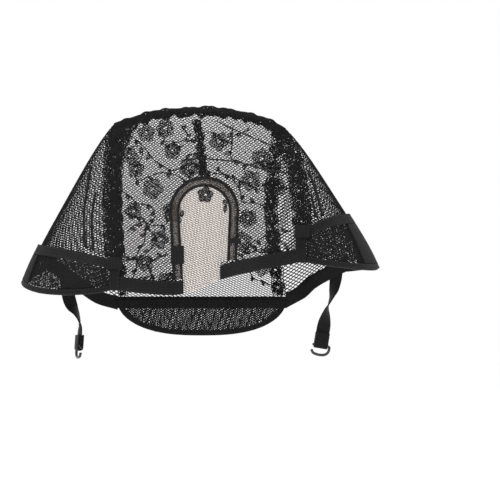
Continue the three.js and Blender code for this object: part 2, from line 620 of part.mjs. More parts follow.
function addStrap(name, rows) {
  const onTape = ([x, z]) => capPoint(x, z, 1).y + TOP + STRAP_WALL;
  const points = rows.map((row, i) => {
    const hung = Math.max(0, i - 1) / (rows.length - 2);
    const y = i < 2 ? onTape(row) : onTape(rows[1]) - STRAP_SWING * hung;
    return new THREE.Vector3(row[0], y, row[1]);
  });
  const path = new THREE.CatmullRomCurve3(points, false, 'centripetal');
  const turn = curve(rows.map(([, , angle], i) => [i, angle]));
  const steps = 3 * (rows.length - 1);
  const frameAt = (t) => {
    const along = path.getTangent(t);
    const angle = THREE.MathUtils.degToRad(turn(t * (rows.length - 1)));
    const side = new THREE.Vector3(Math.cos(angle), Math.sin(angle), 0);
    side.addScaledVector(along, -side.dot(along)).normalize();
    return { at: path.getPoint(t), side, out: new THREE.Vector3().crossVectors(along, side), along };
  };
  const frames = Array.from({ length: steps + 1 }, (_, i) => frameAt(i / steps));
  add(`strap_${name}`, 'elastic', sweep(rectangle(STRAP, STRAP_WALL), frames));

  const end = frames[steps];
  const bar = end.at.clone().addScaledVector(end.along, WIRE + LAYER_GAP + 2 * SEAM);
  const inPlane = (a, b, axis) => bar.clone().addScaledVector(axis, a).addScaledVector(end.along, b);
  const middle = WIRE + SEAM + STRAP_WALL / 2;
  const inwards = end.out.clone().negate();
  const loop = [{ at: inPlane(-middle, -LOOP_LEG, end.out), side: end.side, out: inwards }];
  const arc = 8;
  for (let i = 0; i <= arc; i++) {
    const angle = Math.PI * i / arc;
    const radial = inwards.clone().multiplyScalar(Math.cos(angle))
      .addScaledVector(end.along, Math.sin(angle));
    loop.push({ at: bar.clone().addScaledVector(radial, middle), side: end.side, out: radial });
  }
  loop.push({ at: inPlane(middle, -LOOP_LEG, end.out), side: end.side, out: end.out });
  add(`strap_loop_${name}`, 'elastic', sweep(rectangle(STRAP, STRAP_WALL), loop));

  const hook = HOOK.map(([a, b]) => inPlane(a, b, end.side));
  const wirePath = new THREE.CatmullRomCurve3(hook, false, 'centripetal');
  const [sides, wireSteps] = [6, 24];
  const section = Array.from({ length: sides }, (_, i) => {
    const angle = 2 * Math.PI * (i + 0.5) / sides;
    return [WIRE * Math.cos(angle), WIRE * Math.sin(angle)];
  });
  const wire = Array.from({ length: wireSteps + 1 }, (_, i) => {
    const side = new THREE.Vector3().crossVectors(end.out, wirePath.getTangent(i / wireSteps));
    return { at: wirePath.getPoint(i / wireSteps), side, out: end.out };
  });
  add(`hook_${name}`, 'metal', sweep(section, wire));
}

addCrown();
addCasing();
addLace();
addSide('left', FRONT_LEFT, BACK_LEFT, TAB_LEFT);
addSide('right', FRONT_RIGHT, BACK_RIGHT, TAB_RIGHT);
addFrontBand('left', TAB_LEFT, BAND_ENDS[0]);
addFrontBand('right', TAB_RIGHT, BAND_ENDS[1]);
for (const [name, rows] of Object.entries(SIDE_SEAMS)) addSeam(name, rows);
addNape();
addStrap('left', STRAP_LEFT);
addStrap('right', STRAP_RIGHT);

export default group;
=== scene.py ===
"""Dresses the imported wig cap: thread nets, floral lace, woven tapes, stitching, straps and hooks."""

import json
import math

import bpy
import numpy as np
from bpy.props import FloatProperty, FloatVectorProperty, PointerProperty
from bpy.types import Operator, Panel, PropertyGroup
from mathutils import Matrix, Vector

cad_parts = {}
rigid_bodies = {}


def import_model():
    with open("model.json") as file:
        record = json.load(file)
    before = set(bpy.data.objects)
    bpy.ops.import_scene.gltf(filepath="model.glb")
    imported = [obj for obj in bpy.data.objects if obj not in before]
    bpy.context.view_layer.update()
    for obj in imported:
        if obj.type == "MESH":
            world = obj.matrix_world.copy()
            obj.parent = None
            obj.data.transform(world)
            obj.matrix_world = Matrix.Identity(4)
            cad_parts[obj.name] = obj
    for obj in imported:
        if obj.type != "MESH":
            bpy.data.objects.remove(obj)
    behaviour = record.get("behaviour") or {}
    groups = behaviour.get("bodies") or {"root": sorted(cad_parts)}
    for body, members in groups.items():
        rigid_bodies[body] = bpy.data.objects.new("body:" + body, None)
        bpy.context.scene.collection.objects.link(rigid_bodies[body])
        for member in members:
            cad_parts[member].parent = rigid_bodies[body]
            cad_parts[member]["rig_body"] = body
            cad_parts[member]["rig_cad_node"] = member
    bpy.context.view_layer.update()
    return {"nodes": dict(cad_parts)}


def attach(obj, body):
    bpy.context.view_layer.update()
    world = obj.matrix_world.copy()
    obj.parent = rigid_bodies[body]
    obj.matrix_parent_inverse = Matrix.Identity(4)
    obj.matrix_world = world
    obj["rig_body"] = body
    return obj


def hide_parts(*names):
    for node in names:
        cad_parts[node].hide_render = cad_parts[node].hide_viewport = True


bl_info = {
    "name": "Wig Cap",
    "version": (1, 0, 0),
    "blender": (4, 5, 0),
    "location": "View3D > Sidebar > Wig Cap",
    "description": "Nets, floral lace, tapes, stitching, straps and hooks of a wig cap",
    "category": "Object",
}

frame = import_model()
MM = 0.001

# The cap's form in millimetres, X to the wearer's left, Y to the back and Z up.
NET, TAPE, LAYER_GAP, SEAM = 1.0, 1.2, 0.6, 0.3
OVER = NET + LAYER_GAP
TOP = OVER + TAPE + LAYER_GAP
SEWN, PATCHED = 0.8, 1.5  # Undersides of what is sewn onto a net, and of the patches on that
FRONT_DEPTH, BACK_DEPTH = 50.0, 52.0
CREST_REACH, SIDE_REACH, CREST_POWER = 75.0, 105.0, 2.2
SIDE_BULGE, NAPE_TUCK, TUCK_FROM = 3.0, 0.14, -105.0
LEFT = {"sign": -1, "crest": (-63.5, -12.0), "tip": (-127.6, -126.6)}
RIGHT = {"sign": 1, "crest": (61.8, -15.3), "tip": (126.8, -116.0)}
BAND_HEIGHT, NAPE_JOIN, NAPE_TAPE = 10.0, -138.5, (-136.5, -145.0)
NAPE_HALF, NAPE_FOOT, NAPE_POWER = 62.0, -165.3, 2.6
BINDING, BACK_TAPE, HEM, TAB_TAPE, JOINT = 4.0, 9.6, 4.0, 7.0, 7.3
U_CENTRE, U_RADIUS, U_SPRING = 2.8, 21.0, -74.2
LEG_X, BAND_ENDS = (-15.6, 22.5), (-11.9, 14.1)
CASING, PIPING, CREST_BAND, SCALLOP = 7.0, 1.2, 7.0, 0.8
NAPE_TAPE_HALF, BACK_TAPE_START, FLAP_GAP = 61.8, 61.5, 0.7
BAR_TACK = {"count": 6, "pitch": 14.2, "centre": 6.5, "half": 0.7, "past": 1.2}
PATCH = {"left": 4.6, "right": 5.4, "height": 8.6, "lift": 0.8}  # On each tab's front joint
TACK_LEFT, TACK_RIGHT = (-20.6, -11.4, -98.5, -111.5), (19.8, 28, -93.4, -97)  # Left, right, top, foot
STRIP = {"crest_x": -3.6, "width": 6.5, "length": 46.0}  # Lace from the crest to the opening
ROSETTE = {"at": (3.6, -62.3), "reach": 4.9}
CREST_SCALLOPS, CREST_FLOWERS, SIDE_SEAM, EDGE_BEVEL, HOOK_SWELL = 10, 12, 1.4, 0.25, 0.25


def lerp(a, b, t):
    return a + (b - a) * t


def curve(rows):
    """A smooth curve through rows of (where, value), straight beyond its ends."""
    xs, ys = np.array(rows, float).T
    last = len(xs) - 1
    steps = np.arange(last + 1)
    low, high = np.maximum(steps - 1, 0), np.minimum(steps + 1, last)
    slopes = (ys[high] - ys[low]) / (xs[high] - xs[low])

    def at(where):
        where = np.asarray(where, float)
        i = np.clip(np.searchsorted(xs, where, side="right") - 1, 0, last - 1)
        run = xs[i + 1] - xs[i]
        t = (where - xs[i]) / run
        inner = ((1 + 2 * t) * (1 - t) ** 2 * ys[i] + t * t * (3 - 2 * t) * ys[i + 1]
                 + run * t * (1 - t) * ((1 - t) * slopes[i] - t * slopes[i + 1]))
        before = ys[0] + slopes[0] * (where - xs[0])
        after = ys[last] + slopes[last] * (where - xs[last])
        return np.where(where < xs[0], before, np.where(where > xs[last], after, inner))

    return at


FRONT_HEM = curve([(-61, -130), (-38, -132.8), (-12, -132.8), (14, -122.6), (43, -115.8), (71, -110.6)])
LEGS = [(x, float(max(FRONT_HEM(x - CASING / 2), FRONT_HEM(x + CASING / 2))) + BAND_HEIGHT + SEAM)
        for x in LEG_X]
FRONT_LEFT = {"side": LEFT, "back": -1, "x": curve([(0, -60), (0.41, -63), (0.85, -60.7), (1, -60.9)])}
FRONT_RIGHT = {"side": RIGHT, "back": -1, "x": curve([(0, 58.8), (0.41, 69.6), (0.81, 72.8), (1, 71.3)])}
BACK_LEFT = {"side": LEFT, "back": 1, "x": curve([(0, -60), (0.5, -62), (1, -57.3)])}
BACK_RIGHT = {"side": RIGHT, "back": 1, "x": curve([(0, 56), (0.45, 50.7), (1, 57)])}
TAPE_LEFT = curve([(-112, -110.6), (-103, -117), (-87, -129), (-75, -137), (-61.3, -141.3)])
TAPE_RIGHT = curve([(61.3, -139.8), (73, -133), (82, -125.4), (94, -118.6), (107.5, -112)])
BACK_RISE = {"bow": 11, "rise": 1, "fall": 1.8}
TAB_LEFT = {
    "side": LEFT, "tape": TAPE_LEFT, "joint": -60.9, "top": -107.9, "foot": -130.6, "fold": 0.772,
    "lace": 1.6, "edge": -0.25, "flap": (-112, -104.8),
    "over": {"bow": 1, "rise": 1, "fall": 1.5}, "under": {"bow": -6, "rise": 0.4, "fall": 0.8},
}
TAB_RIGHT = {
    "side": RIGHT, "tape": TAPE_RIGHT, "joint": 71.3, "top": -87, "foot": -110.8, "fold": 0.63,
    "lace": 3, "edge": -0.42, "flap": (105, -91),
    "over": {"bow": 2.8, "rise": 1, "fall": 1}, "under": {"bow": -1.7, "rise": 0.3, "fall": 0.9},
}


def crest_z(x):
    """Height of the crest, seen from the front."""
    x = np.asarray(x, float)
    corner_x = np.where(x < 0, LEFT["crest"][0], RIGHT["crest"][0])
    corner_z = np.where(x < 0, LEFT["crest"][1], RIGHT["crest"][1])
    share = np.maximum(x / corner_x, 0)
    return np.where(share < 1, corner_z * share ** CREST_POWER, corner_z * (1 + CREST_POWER * (share - 1)))


def side_line(side, share):
    """A side line's point at a share of the way down, and its outward normal."""
    (ax, az), (bx, bz) = side["crest"], side["tip"]
    length = math.hypot(bx - ax, bz - az)
    nx, nz = -side["sign"] * (bz - az) / length, side["sign"] * (bx - ax) / length
    bulge = SIDE_BULGE * np.maximum(0, 1 - (2 * share - 1) ** 4)
    return lerp(ax, bx, share) + nx * bulge, lerp(az, bz, share) + nz * bulge, nx, nz


def inside_side(side, x, z):
    """How far a point of the front view lies inside a side line."""
    (ax, az), (bx, bz) = side["crest"], side["tip"]
    share = ((x - ax) * (bx - ax) + (z - az) * (bz - az)) / ((bx - ax) ** 2 + (bz - az) ** 2)
    px, pz, nx, nz = side_line(side, share)
    return (px - x) * nx + (pz - z) * nz


def depth_squared(x, z, back):
    """Square of the cap's depth at a point of the front view."""
    def round_over(distance, reach):
        return 1 - (1 - np.clip(distance / reach, 0, 1)) ** 2

    t = np.clip((TUCK_FROM - z) / (TUCK_FROM - NAPE_FOOT), 0, 1)
    tuck = np.where(back > 0, 1 - NAPE_TUCK * t * t * (3 - 2 * t), 1)
    depth = np.where(back > 0, BACK_DEPTH, FRONT_DEPTH) * tuck
    return (depth ** 2 * round_over(crest_z(x) - z, CREST_REACH)
            * round_over(inside_side(LEFT, x, z), SIDE_REACH)
            * round_over(inside_side(RIGHT, x, z), SIDE_REACH))


def cap(x, z, back, height=0.0):
    """Points of the cap at a height above its head side, and the outward normals."""
    x, z, back = np.broadcast_arrays(np.asarray(x, float), z, back)
    y = back * np.sqrt(depth_squared(x, z, back))
    h = 0.05
    slope_x = (depth_squared(x + h, z, back) - depth_squared(x - h, z, back)) / (2 * h)
    slope_z = (depth_squared(x, z + h, back) - depth_squared(x, z - h, back)) / (2 * h)
    normals = np.stack([-slope_x, 2 * y, -slope_z], -1)
    normals /= np.linalg.norm(normals, axis=-1, keepdims=True) + 1e-12
    return np.stack([x, y, z], -1) + normals * np.asarray(height)[..., None], normals


def seam_point(band, share):
    """A seam's X and Z at a share of the way down."""
    top = float(crest_z(band["x"](0)))
    foot = NAPE_JOIN if band["back"] > 0 else float(FRONT_HEM(band["x"](1)))
    return band["x"](share), lerp(top, foot, share)


def seam_share(band, z):
    """How far down a seam a height is, as a share."""
    top, foot = seam_point(band, 0)[1], seam_point(band, 1)[1]
    return (z - top) / (foot - top)


def bow_at(bow, share):
    """Rise of a bowed edge at a share of the way along it."""
    peak = bow["rise"] / (bow["rise"] + bow["fall"])

    def shape(t):
        return np.maximum(t, 0) ** bow["rise"] * np.maximum(1 - t, 0) ** bow["fall"]

    return bow["bow"] * shape(share) / shape(peak)


def round_side(side, w, share, front, back):
    """A point round a side: w is -1 at the front seam, 0 on the fold and 1 at the back seam."""
    ex, ez, _, _ = side_line(side, share)
    x, z = np.where(w < 0, front[0], back[0]), np.where(w < 0, front[1], back[1])
    return lerp(ex, x, w * w), lerp(ez, z, w * w), np.where(w < 0, -1.0, 1.0)


def side_place(front, back, tab, w, share):
    """A side net's point in the front view, by place round the side and share of the way down."""
    down = np.clip((share - 0.02) / 0.98, 0, 1)
    inset = tab["side"]["sign"] * SEAM / 2
    fx, fz = seam_point(front, share)
    bx, bz = seam_point(back, share)
    x, z, facing = round_side(tab["side"], w, 0.985 * down, (fx + inset, fz), (bx + inset, bz))
    under = dict(tab["under"], bow=tab["under"]["bow"] + 1.5)
    bow = np.where(w < 0, bow_at(under, w * w), bow_at(BACK_RISE, w * w))
    return x, z + down ** (3 / 1.3) * bow, facing


def tape_stretch(tape, x):
    """Length of a slanting tape's line for each millimetre of X."""
    return np.hypot(1, (tape(x + 1) - tape(x - 1)) / 2)


def tab_point(tab, w, v):
    """An ear tab's point between its top and foot, from the front joint round to the flap's end."""
    sign = tab["side"]["sign"]
    end, top = tab["flap"]
    half = BACK_TAPE / 2 * tape_stretch(tab["tape"], end)
    front = (tab["joint"] + sign * (JOINT / 2 + SEAM), lerp(tab["top"], tab["foot"], v))
    back = (end + sign * FLAP_GAP, lerp(top, tab["tape"](end) - half, v))
    x, z, facing = round_side(tab["side"], w, lerp(tab["fold"], 1, v), front, back)
    bow = np.where(w < 0, lerp(bow_at(tab["over"], w * w), bow_at(tab["under"], w * w), v), 0)
    return x, z + bow, facing


def tab_height(tab, w):
    """An ear tab's height at a place round the side."""
    return tab_point(tab, w, 0)[1] - tab_point(tab, w, 1)[1]


def casing_line(share):
    """The middle line of the casing round the part opening, and its outward normal."""
    share = np.asarray(share, float)
    sides = [(-1, LEGS[0]), (1, LEGS[1])]
    runs = [(x - (U_CENTRE + s * U_RADIUS), z - U_SPRING) for s, (x, z) in sides]
    lengths = [math.hypot(*runs[0]), math.pi * U_RADIUS, math.hypot(*runs[1])]
    at = share * sum(lengths)
    angle = math.pi - (at - lengths[0]) / U_RADIUS
    out = [U_CENTRE + U_RADIUS * np.cos(angle), U_SPRING + U_RADIUS * np.sin(angle),
           np.cos(angle), np.sin(angle)]
    for i, (s, _) in enumerate(sides):
        length = lengths[2 * i]
        dx, dz = runs[i][0] / length, runs[i][1] / length
        down = lengths[0] - at if i == 0 else at - lengths[0] - lengths[1]
        leg = [U_CENTRE + s * U_RADIUS + dx * down, U_SPRING + dz * down, -s * dz, s * dx]
        out = [np.where(down >= 0, a, b) for a, b in zip(leg, out)]
    return out


def in_opening(x, z, inset):
    """Whether a point of the front view lies in the part opening, drawn in by an inset."""
    arch = np.hypot(x - U_CENTRE, z - U_SPRING) < U_RADIUS - inset
    legs = []
    for i, (foot_x, foot_z) in enumerate(LEGS):
        start = U_CENTRE + (U_RADIUS if i else -U_RADIUS)
        leg_x = lerp(start, foot_x, (z - U_SPRING) / (foot_z - U_SPRING))
        legs.append(np.where(z < foot_z, BAND_ENDS[i], leg_x))
    return np.where(z > U_SPRING, arch, (x > legs[0] + inset) & (x < legs[1] - inset))


class Threads:
    """Threads gathered into one mesh. Each is a closed three-sided strand lying on the cloth."""

    def __init__(self):
        self.verts, self.faces, self.count = [], [], 0

    def lay(self, points, normals, width, height, closed=False):
        n = len(points)
        if n < 2:
            return
        if closed:
            along = np.roll(points, -1, 0) - np.roll(points, 1, 0)
        else:
            along = np.gradient(points, axis=0)
        side = np.cross(normals, along)
        side /= np.linalg.norm(side, axis=1, keepdims=True) + 1e-12
        ring = np.stack([points - side * width / 2, points + side * width / 2,
                         points + normals * height], 1)
        base = self.count + 3 * np.arange(n if closed else n - 1)[:, None]
        ahead = self.count + 3 * ((np.arange(n if closed else n - 1)[:, None] + 1) % n)
        a, b = np.array([0, 1, 2])[None], np.array([1, 2, 0])[None]
        quads = np.stack([base + a, base + b, ahead + b, ahead + a], -1).reshape(-1, 4)
        self.faces += [quads[:, [0, 1, 2]], quads[:, [0, 2, 3]]]
        if not closed:
            end = self.count + 3 * (n - 1)
            self.faces.append(np.array([[self.count, self.count + 2, self.count + 1],
                                        [end, end + 1, end + 2]]))
        self.verts.append(ring.reshape(-1, 3))
        self.count += 3 * n

    def obj(self, name):
        return mesh_object(name, np.concatenate(self.verts), np.concatenate(self.faces))


def mesh_object(name, verts, faces, uv=None):
    mesh = bpy.data.meshes.new(name)
    mesh.vertices.add(len(verts))
    mesh.vertices.foreach_set("co", (verts * MM).astype(np.float32).ravel())
    mesh.loops.add(3 * len(faces))
    mesh.loops.foreach_set("vertex_index", faces.astype(np.int32).ravel())
    mesh.polygons.add(len(faces))
    mesh.polygons.foreach_set("loop_start", np.arange(0, 3 * len(faces), 3, dtype=np.int32))
    mesh.polygons.foreach_set("use_smooth", np.ones(len(faces), bool))
    if uv is not None:
        layer = mesh.uv_layers.new(name="UVMap")
        layer.data.foreach_set("uv", uv[faces.ravel()].astype(np.float32).ravel())
    mesh.update(calc_edges=True)
    mesh.validate()
    piece = bpy.data.objects.new(name, mesh)
    bpy.context.scene.collection.objects.link(piece)
    return piece


def wall(name, place, across, along, low, high):
    """A closed cloth wall over place(u, v), between two heights, with UVs in millimetres."""
    u, v = np.meshgrid(np.linspace(0, 1, across + 1), np.linspace(0, 1, along + 1))
    x, z, facing = place(u, v)
    outer, _ = cap(x, z, facing, high)
    inner, _ = cap(x, z, facing, low)
    run_u = np.concatenate([np.zeros((along + 1, 1)), np.cumsum(
        np.linalg.norm(np.diff(outer, axis=1), axis=2), 1)], 1)
    run_v = np.concatenate([np.zeros((1, across + 1)), np.cumsum(
        np.linalg.norm(np.diff(outer, axis=0), axis=2), 0)], 0)
    uv = np.stack([run_u, run_v], -1).reshape(-1, 2)
    verts = np.concatenate([outer.reshape(-1, 3), inner.reshape(-1, 3)])
    row = across + 1
    layer = row * (along + 1)
    a = (np.arange(along)[:, None] * row + np.arange(across)[None]).ravel()
    top = np.concatenate([np.stack([a, a + 1, a + row + 1], 1), np.stack([a, a + row + 1, a + row], 1)])
    faces = [top, top[:, [0, 2, 1]] + layer]
    left, right = np.arange(along) * row, np.arange(along) * row + across
    low_edge, high_edge = np.arange(across), along * row + np.arange(across)
    edges = [(right, right + row), (left + row, left),
             (low_edge, low_edge + 1), (high_edge + 1, high_edge)]
    for p, q in edges:
        faces += [np.stack([p, p + layer, q + layer], 1), np.stack([p, q + layer, q], 1)]
    faces = np.concatenate(faces)
    corner = verts[faces]
    if np.einsum("ij,ij->", corner[:, 0], np.cross(corner[:, 1], corner[:, 2])) < 0:
        faces = faces[:, ::-1]
    piece = mesh_object(name, verts, faces, np.concatenate([uv, uv]))
    bevel_edges(piece, EDGE_BEVEL)
    smooth(piece)
    return piece


def only(piece):
    """Selects one object alone and makes it active."""
    bpy.ops.object.select_all(action="DESELECT")
    piece.select_set(True)
    bpy.context.view_layer.objects.active = piece


def finish_modifier(piece, kind, **values):
    only(piece)
    modifier = piece.modifiers.new(kind.title(), kind)
    for name, value in values.items():
        setattr(modifier, name, value)
    bpy.ops.object.modifier_apply(modifier=modifier.name)


def bevel_edges(piece, width):
    finish_modifier(piece, "BEVEL", width=width * MM, segments=2, limit_method="ANGLE",
                    angle_limit=math.radians(50), use_clamp_overlap=True)


def edit_all(piece, operator, **values):
    """Runs one mesh operator on the whole of a piece."""
    only(piece)
    bpy.ops.object.mode_set(mode="EDIT")
    bpy.ops.mesh.select_all(action="SELECT")
    operator(**values)
    bpy.ops.object.mode_set(mode="OBJECT")


def smooth(piece, angle=38):
    only(piece)
    bpy.ops.object.shade_smooth_by_angle(angle=math.radians(angle))


def runs_of(inside, low, high, angle, pitch, warp=None, sample=0.3, step=3.0):
    """A net's straight threads in cloth coordinates, where inside(a, b) holds."""
    c, s = math.cos(math.radians(angle)), math.sin(math.radians(angle))
    corners = [(a, b) for a in (low[0], high[0]) for b in (low[1], high[1])]
    across = [-s * a + c * b for a, b in corners]
    along = [c * a + s * b for a, b in corners]
    t = np.arange(min(along), max(along), sample)
    for k in range(math.floor(min(across) / pitch), math.ceil(max(across) / pitch) + 1):
        off = k * pitch
        a, b = -s * off + c * t, c * off + s * t
        if warp:
            a, b = warp(a, b)
        ok = inside(a, b)
        edges = np.flatnonzero(np.diff(np.concatenate([[0], ok.astype(np.int8), [0]])))
        for start, end in zip(edges[::2], edges[1::2]):
            if end - start > 3:
                pick = np.linspace(start, end - 1, max(2, round((end - start) * sample / step) + 1))
                pick = np.round(pick).astype(int)
                yield a[pick], b[pick]


def cloth_warp(size, reach, seed):
    """A slow wander of a net's threads, so that it lies like cloth."""
    rng = np.random.default_rng(seed)
    waves = [(rng.uniform(0.5, 1), *rng.normal(0, 1, 2), rng.uniform(0, 6.3), rng.uniform(0, 6.3))
             for _ in range(4)]

    def warp(a, b):
        da, db = 0, 0
        for weight, ka, kb, p, q in waves:
            swing = (ka * a + kb * b) / reach
            da = da + weight * np.sin(swing + p)
            db = db + weight * np.sin(swing * 1.3 + q)
        return a + size * da / 2, b + size * db / 2

    return warp


def net(threads, place, inside, low, high, pitch, width, height, lift=0.1, angles=(52, -52), warp=None,
        step=3.0, second=1.0):
    """Two crossing families of threads, the second lying on the first and thinner or thicker by a share."""
    for i, angle in enumerate(angles):
        for a, b in runs_of(inside, low, high, angle, pitch, warp, step=step):
            x, z, facing = place(a, b)
            base = lift(a, b) if callable(lift) else lift
            points, normals = cap(x, z, facing, base + i * height * 0.6)
            threads.lay(points, normals, width * (second if i else 1), height)


def pinholes(seed, cell=2.5, small=0.35, large=0.95):
    """Where lace is whole, between round holes scattered one to a cell."""
    table = np.random.default_rng(seed).uniform(0, 1, (3, 64, 64))

    def whole(a, b):
        i, j = np.floor(a / cell).astype(int), np.floor(b / cell).astype(int)
        u, v, size = table[:, i % 64, j % 64]
        away = np.hypot(a - (i + 0.3 + 0.4 * u) * cell, b - (j + 0.3 + 0.4 * v) * cell)
        return away > lerp(small, large, size ** 2)
    return whole


def cords(threads, place, lines, width, height, lift, inside=None, closed=False):
    """Lays each line as a thread at a height, cut off where inside(a, b) ends."""
    for a, b in lines:
        if inside is None:
            parts = [(a, b)]
        else:
            ok = inside(a, b)
            if closed and not ok.all():
                closed = False
            edges = np.flatnonzero(np.diff(np.concatenate([[0], ok.astype(np.int8), [0]])))
            parts = [(a[s:e], b[s:e]) for s, e in zip(edges[::2], edges[1::2]) if e - s > 1]
        for pa, pb in parts:
            x, z, facing = place(pa, pb)
            points, normals = cap(x, z, facing, lift)
            threads.lay(points, normals, width, height, closed and len(parts) == 1)


def rose(threads, place, at, reach, turn, inside, lift=0.45, petals=5, weight=1.0):
    """A lace rosette: petal outlines, an inner round of petals, an eye and a close filling."""
    cx, cz = at
    t = np.linspace(0, 2 * math.pi, 6 * petals + 1)[:-1]

    def ring(size, lobe, spin):
        r = reach * size * (1 + lobe * np.abs(np.cos(petals * t / 2 + spin)) - lobe / 2)
        return cx + r * np.cos(t + turn), cz + r * np.sin(t + turn)

    for size, lobe, spin, width in [(1, 0.3, 0, 0.5), (0.66, 0.34, 1.57, 0.45), (0.3, 0.3, 0, 0.5)]:
        cords(threads, place, [ring(size, lobe, spin)], width * weight, 0.4, lift + 0.05, inside, True)
    for k in range(petals):
        spoke = turn + 2 * math.pi * (k + 0.5) / petals
        r = reach * np.array([0.2, 0.5, 0.95])
        cords(threads, place, [(cx + r * np.cos(spoke), cz + r * np.sin(spoke))],
              0.45 * weight, 0.35, lift, inside)

    def filling(a, b):
        angle = np.arctan2(b - cz, a - cx) - turn
        edge = reach * (1 + 0.3 * np.abs(np.cos(petals * angle / 2)) - 0.15)
        away = np.hypot(a - cx, b - cz)
        near = (away < edge) & (away > 0.22 * reach)
        return near & inside(a, b) if inside else near

    for angle in (turn * 40 % 180, turn * 40 % 180 + 75):
        for a, b in runs_of(filling, (cx - 1.2 * reach, cz - 1.2 * reach),
                            (cx + 1.2 * reach, cz + 1.2 * reach), angle, 0.9, sample=0.25, step=2.4):
            x, z, facing = place(a, b)
            points, normals = cap(x, z, facing, lift - 0.1)
            threads.lay(points, normals, 0.48 * weight, 0.3)


def leaf(threads, place, at, reach, turn, inside, lift=0.45):
    """A lace leaf: outline, midrib and side veins."""
    t = np.linspace(0, 1, 9)
    bulge = 0.26 * reach * np.sin(math.pi * t ** 0.8)
    c, s = math.cos(turn), math.sin(turn)
    for sign in (-1, 1):
        a, b = reach * t, sign * bulge
        cords(threads, place, [(at[0] + c * a - s * b, at[1] + s * a + c * b)], 0.6, 0.35, lift, inside)
        for k in (0.25, 0.45, 0.65):
            a = reach * np.array([k - 0.12, k + 0.06])
            b = sign * 0.26 * reach * math.sin(math.pi * (k + 0.06) ** 0.8) * np.array([0, 0.9])
            cords(threads, place, [(at[0] + c * a - s * b, at[1] + s * a + c * b)], 0.5, 0.3, lift, inside)
    a = reach * t
    cords(threads, place, [(at[0] + c * a, at[1] + s * a)], 0.5, 0.35, lift, inside)


def vine(threads, place, stops, inside, seed, lift=0.4):
    """A wandering stem through its stops, with leaves on alternate sides."""
    rng = np.random.default_rng(seed)
    stops = np.array(stops, float)
    share = np.linspace(0, 1, len(stops))
    fine = np.linspace(0, 1, 12 * len(stops))
    a = curve(list(zip(share, stops[:, 0])))(fine) + 0.7 * np.sin(fine * 31 + seed)
    b = curve(list(zip(share, stops[:, 1])))(fine) + 0.7 * np.cos(fine * 27 + seed)
    cords(threads, place, [(a, b)], 0.85, 0.4, lift, inside)
    for k in range(4, len(fine) - 3, 8):
        heading = math.atan2(b[k + 1] - b[k], a[k + 1] - a[k]) + (0.9 if k % 2 else -0.9)
        leaf(threads, place, (a[k], b[k]), rng.uniform(3.4, 4.8), heading + rng.uniform(-0.3, 0.3),
             inside, lift)


def stitch_row(threads, place, length=2.1, pitch=3.0, height=OVER + TAPE, width=0.42, samples=240):
    """Running stitches along place(t), lying on the cloth at a height."""
    x, z, facing = place(np.linspace(0, 1, samples))
    points, normals = cap(x, z, facing, height)
    run = np.concatenate([[0], np.cumsum(np.linalg.norm(np.diff(points, axis=0), axis=1))])
    for start in np.arange(0.6, run[-1] - length, pitch):
        at = start + length * np.array([0, 0.25, 0.75, 1])
        p = np.stack([np.interp(at, run, points[:, i]) for i in range(3)], 1)
        n = np.stack([np.interp(at, run, normals[:, i]) for i in range(3)], 1)
        p += n * np.array([-0.25, 0.02, 0.02, -0.25])[:, None]
        threads.lay(p, n, width, 0.22)


def length_field(name, value, description):
    """A size property. Its default is given in millimetres."""
    return FloatProperty(name=name, description=description, default=value * MM, min=0.0,
                         subtype="DISTANCE", unit="LENGTH", precision=5)


def colour_field(name, value, description):
    return FloatVectorProperty(name=name, description=description, default=value, size=3,
                               min=0.0, max=1.0, subtype="COLOR")


class WIGCAP_PG_nets(PropertyGroup):
    crown_pitch: length_field("Crown net", 1.78, "Spacing of the crown net's threads")
    crown_thread: length_field("Crown thread", 0.65, "Width of the front crown net's threads")
    back_pitch: length_field("Back net", 1.52, "Spacing of the back crown net's threads")
    back_thread: length_field("Back thread", 0.57, "Width of the back crown net's threads")
    side_pitch: length_field("Side net", 1.9, "Spacing of the side nets' threads")
    side_thread: length_field("Side thread", 0.7, "Width of the side nets' threads")
    tab_pitch: length_field("Tab net", 0.96, "Spacing of the ear tabs' threads")
    tab_thread: length_field("Tab thread", 0.59, "Width of the ear tabs' threads")
    nape_pitch: length_field("Nape net", 1.25, "Spacing of the nape net's threads")
    nape_thread: length_field("Nape thread", 0.95, "Width of the nape net's threads")
    part_pitch: length_field("Parting net", 0.95, "Spacing of the nude parting net's threads")
    part_thread: length_field("Parting thread", 0.18, "Width of the nude parting net's threads")
    lace_pitch: length_field("Lace ground", 1.1, "Spacing of the lace bands' ground threads")
    lace_thread: length_field("Lace thread", 0.55, "Width of the lace bands' ground threads")
    flower: length_field("Flower", 6.1, "Reach of a large flower in the crown lace")


class WIGCAP_PG_colours(PropertyGroup):
    lace: colour_field("Lace", (0.009, 0.009, 0.01), "Colour of the black lace threads")
    net: colour_field("Net", (0.010, 0.010, 0.011), "Colour of the black net threads")
    elastic: colour_field("Elastic", (0.0115, 0.0115, 0.012), "Colour of the woven elastic")
    binding: colour_field("Binding", (0.0085, 0.0085, 0.0095), "Colour of the binding tapes")
    thread: colour_field("Stitching", (0.014, 0.014, 0.015), "Colour of the sewing thread")
    parting: colour_field("Parting", (0.74, 0.62, 0.53), "Colour of the nude parting net")
    casing: colour_field("Casing", (0.085, 0.065, 0.052), "Colour of the casing ribbon")
    metal: colour_field("Hooks", (0.07, 0.07, 0.073), "Colour of the gunmetal hooks")


def nets():
    return bpy.context.scene.wigcap_nets


def mm(value):
    return value / MM


# Shader groups that the materials share.

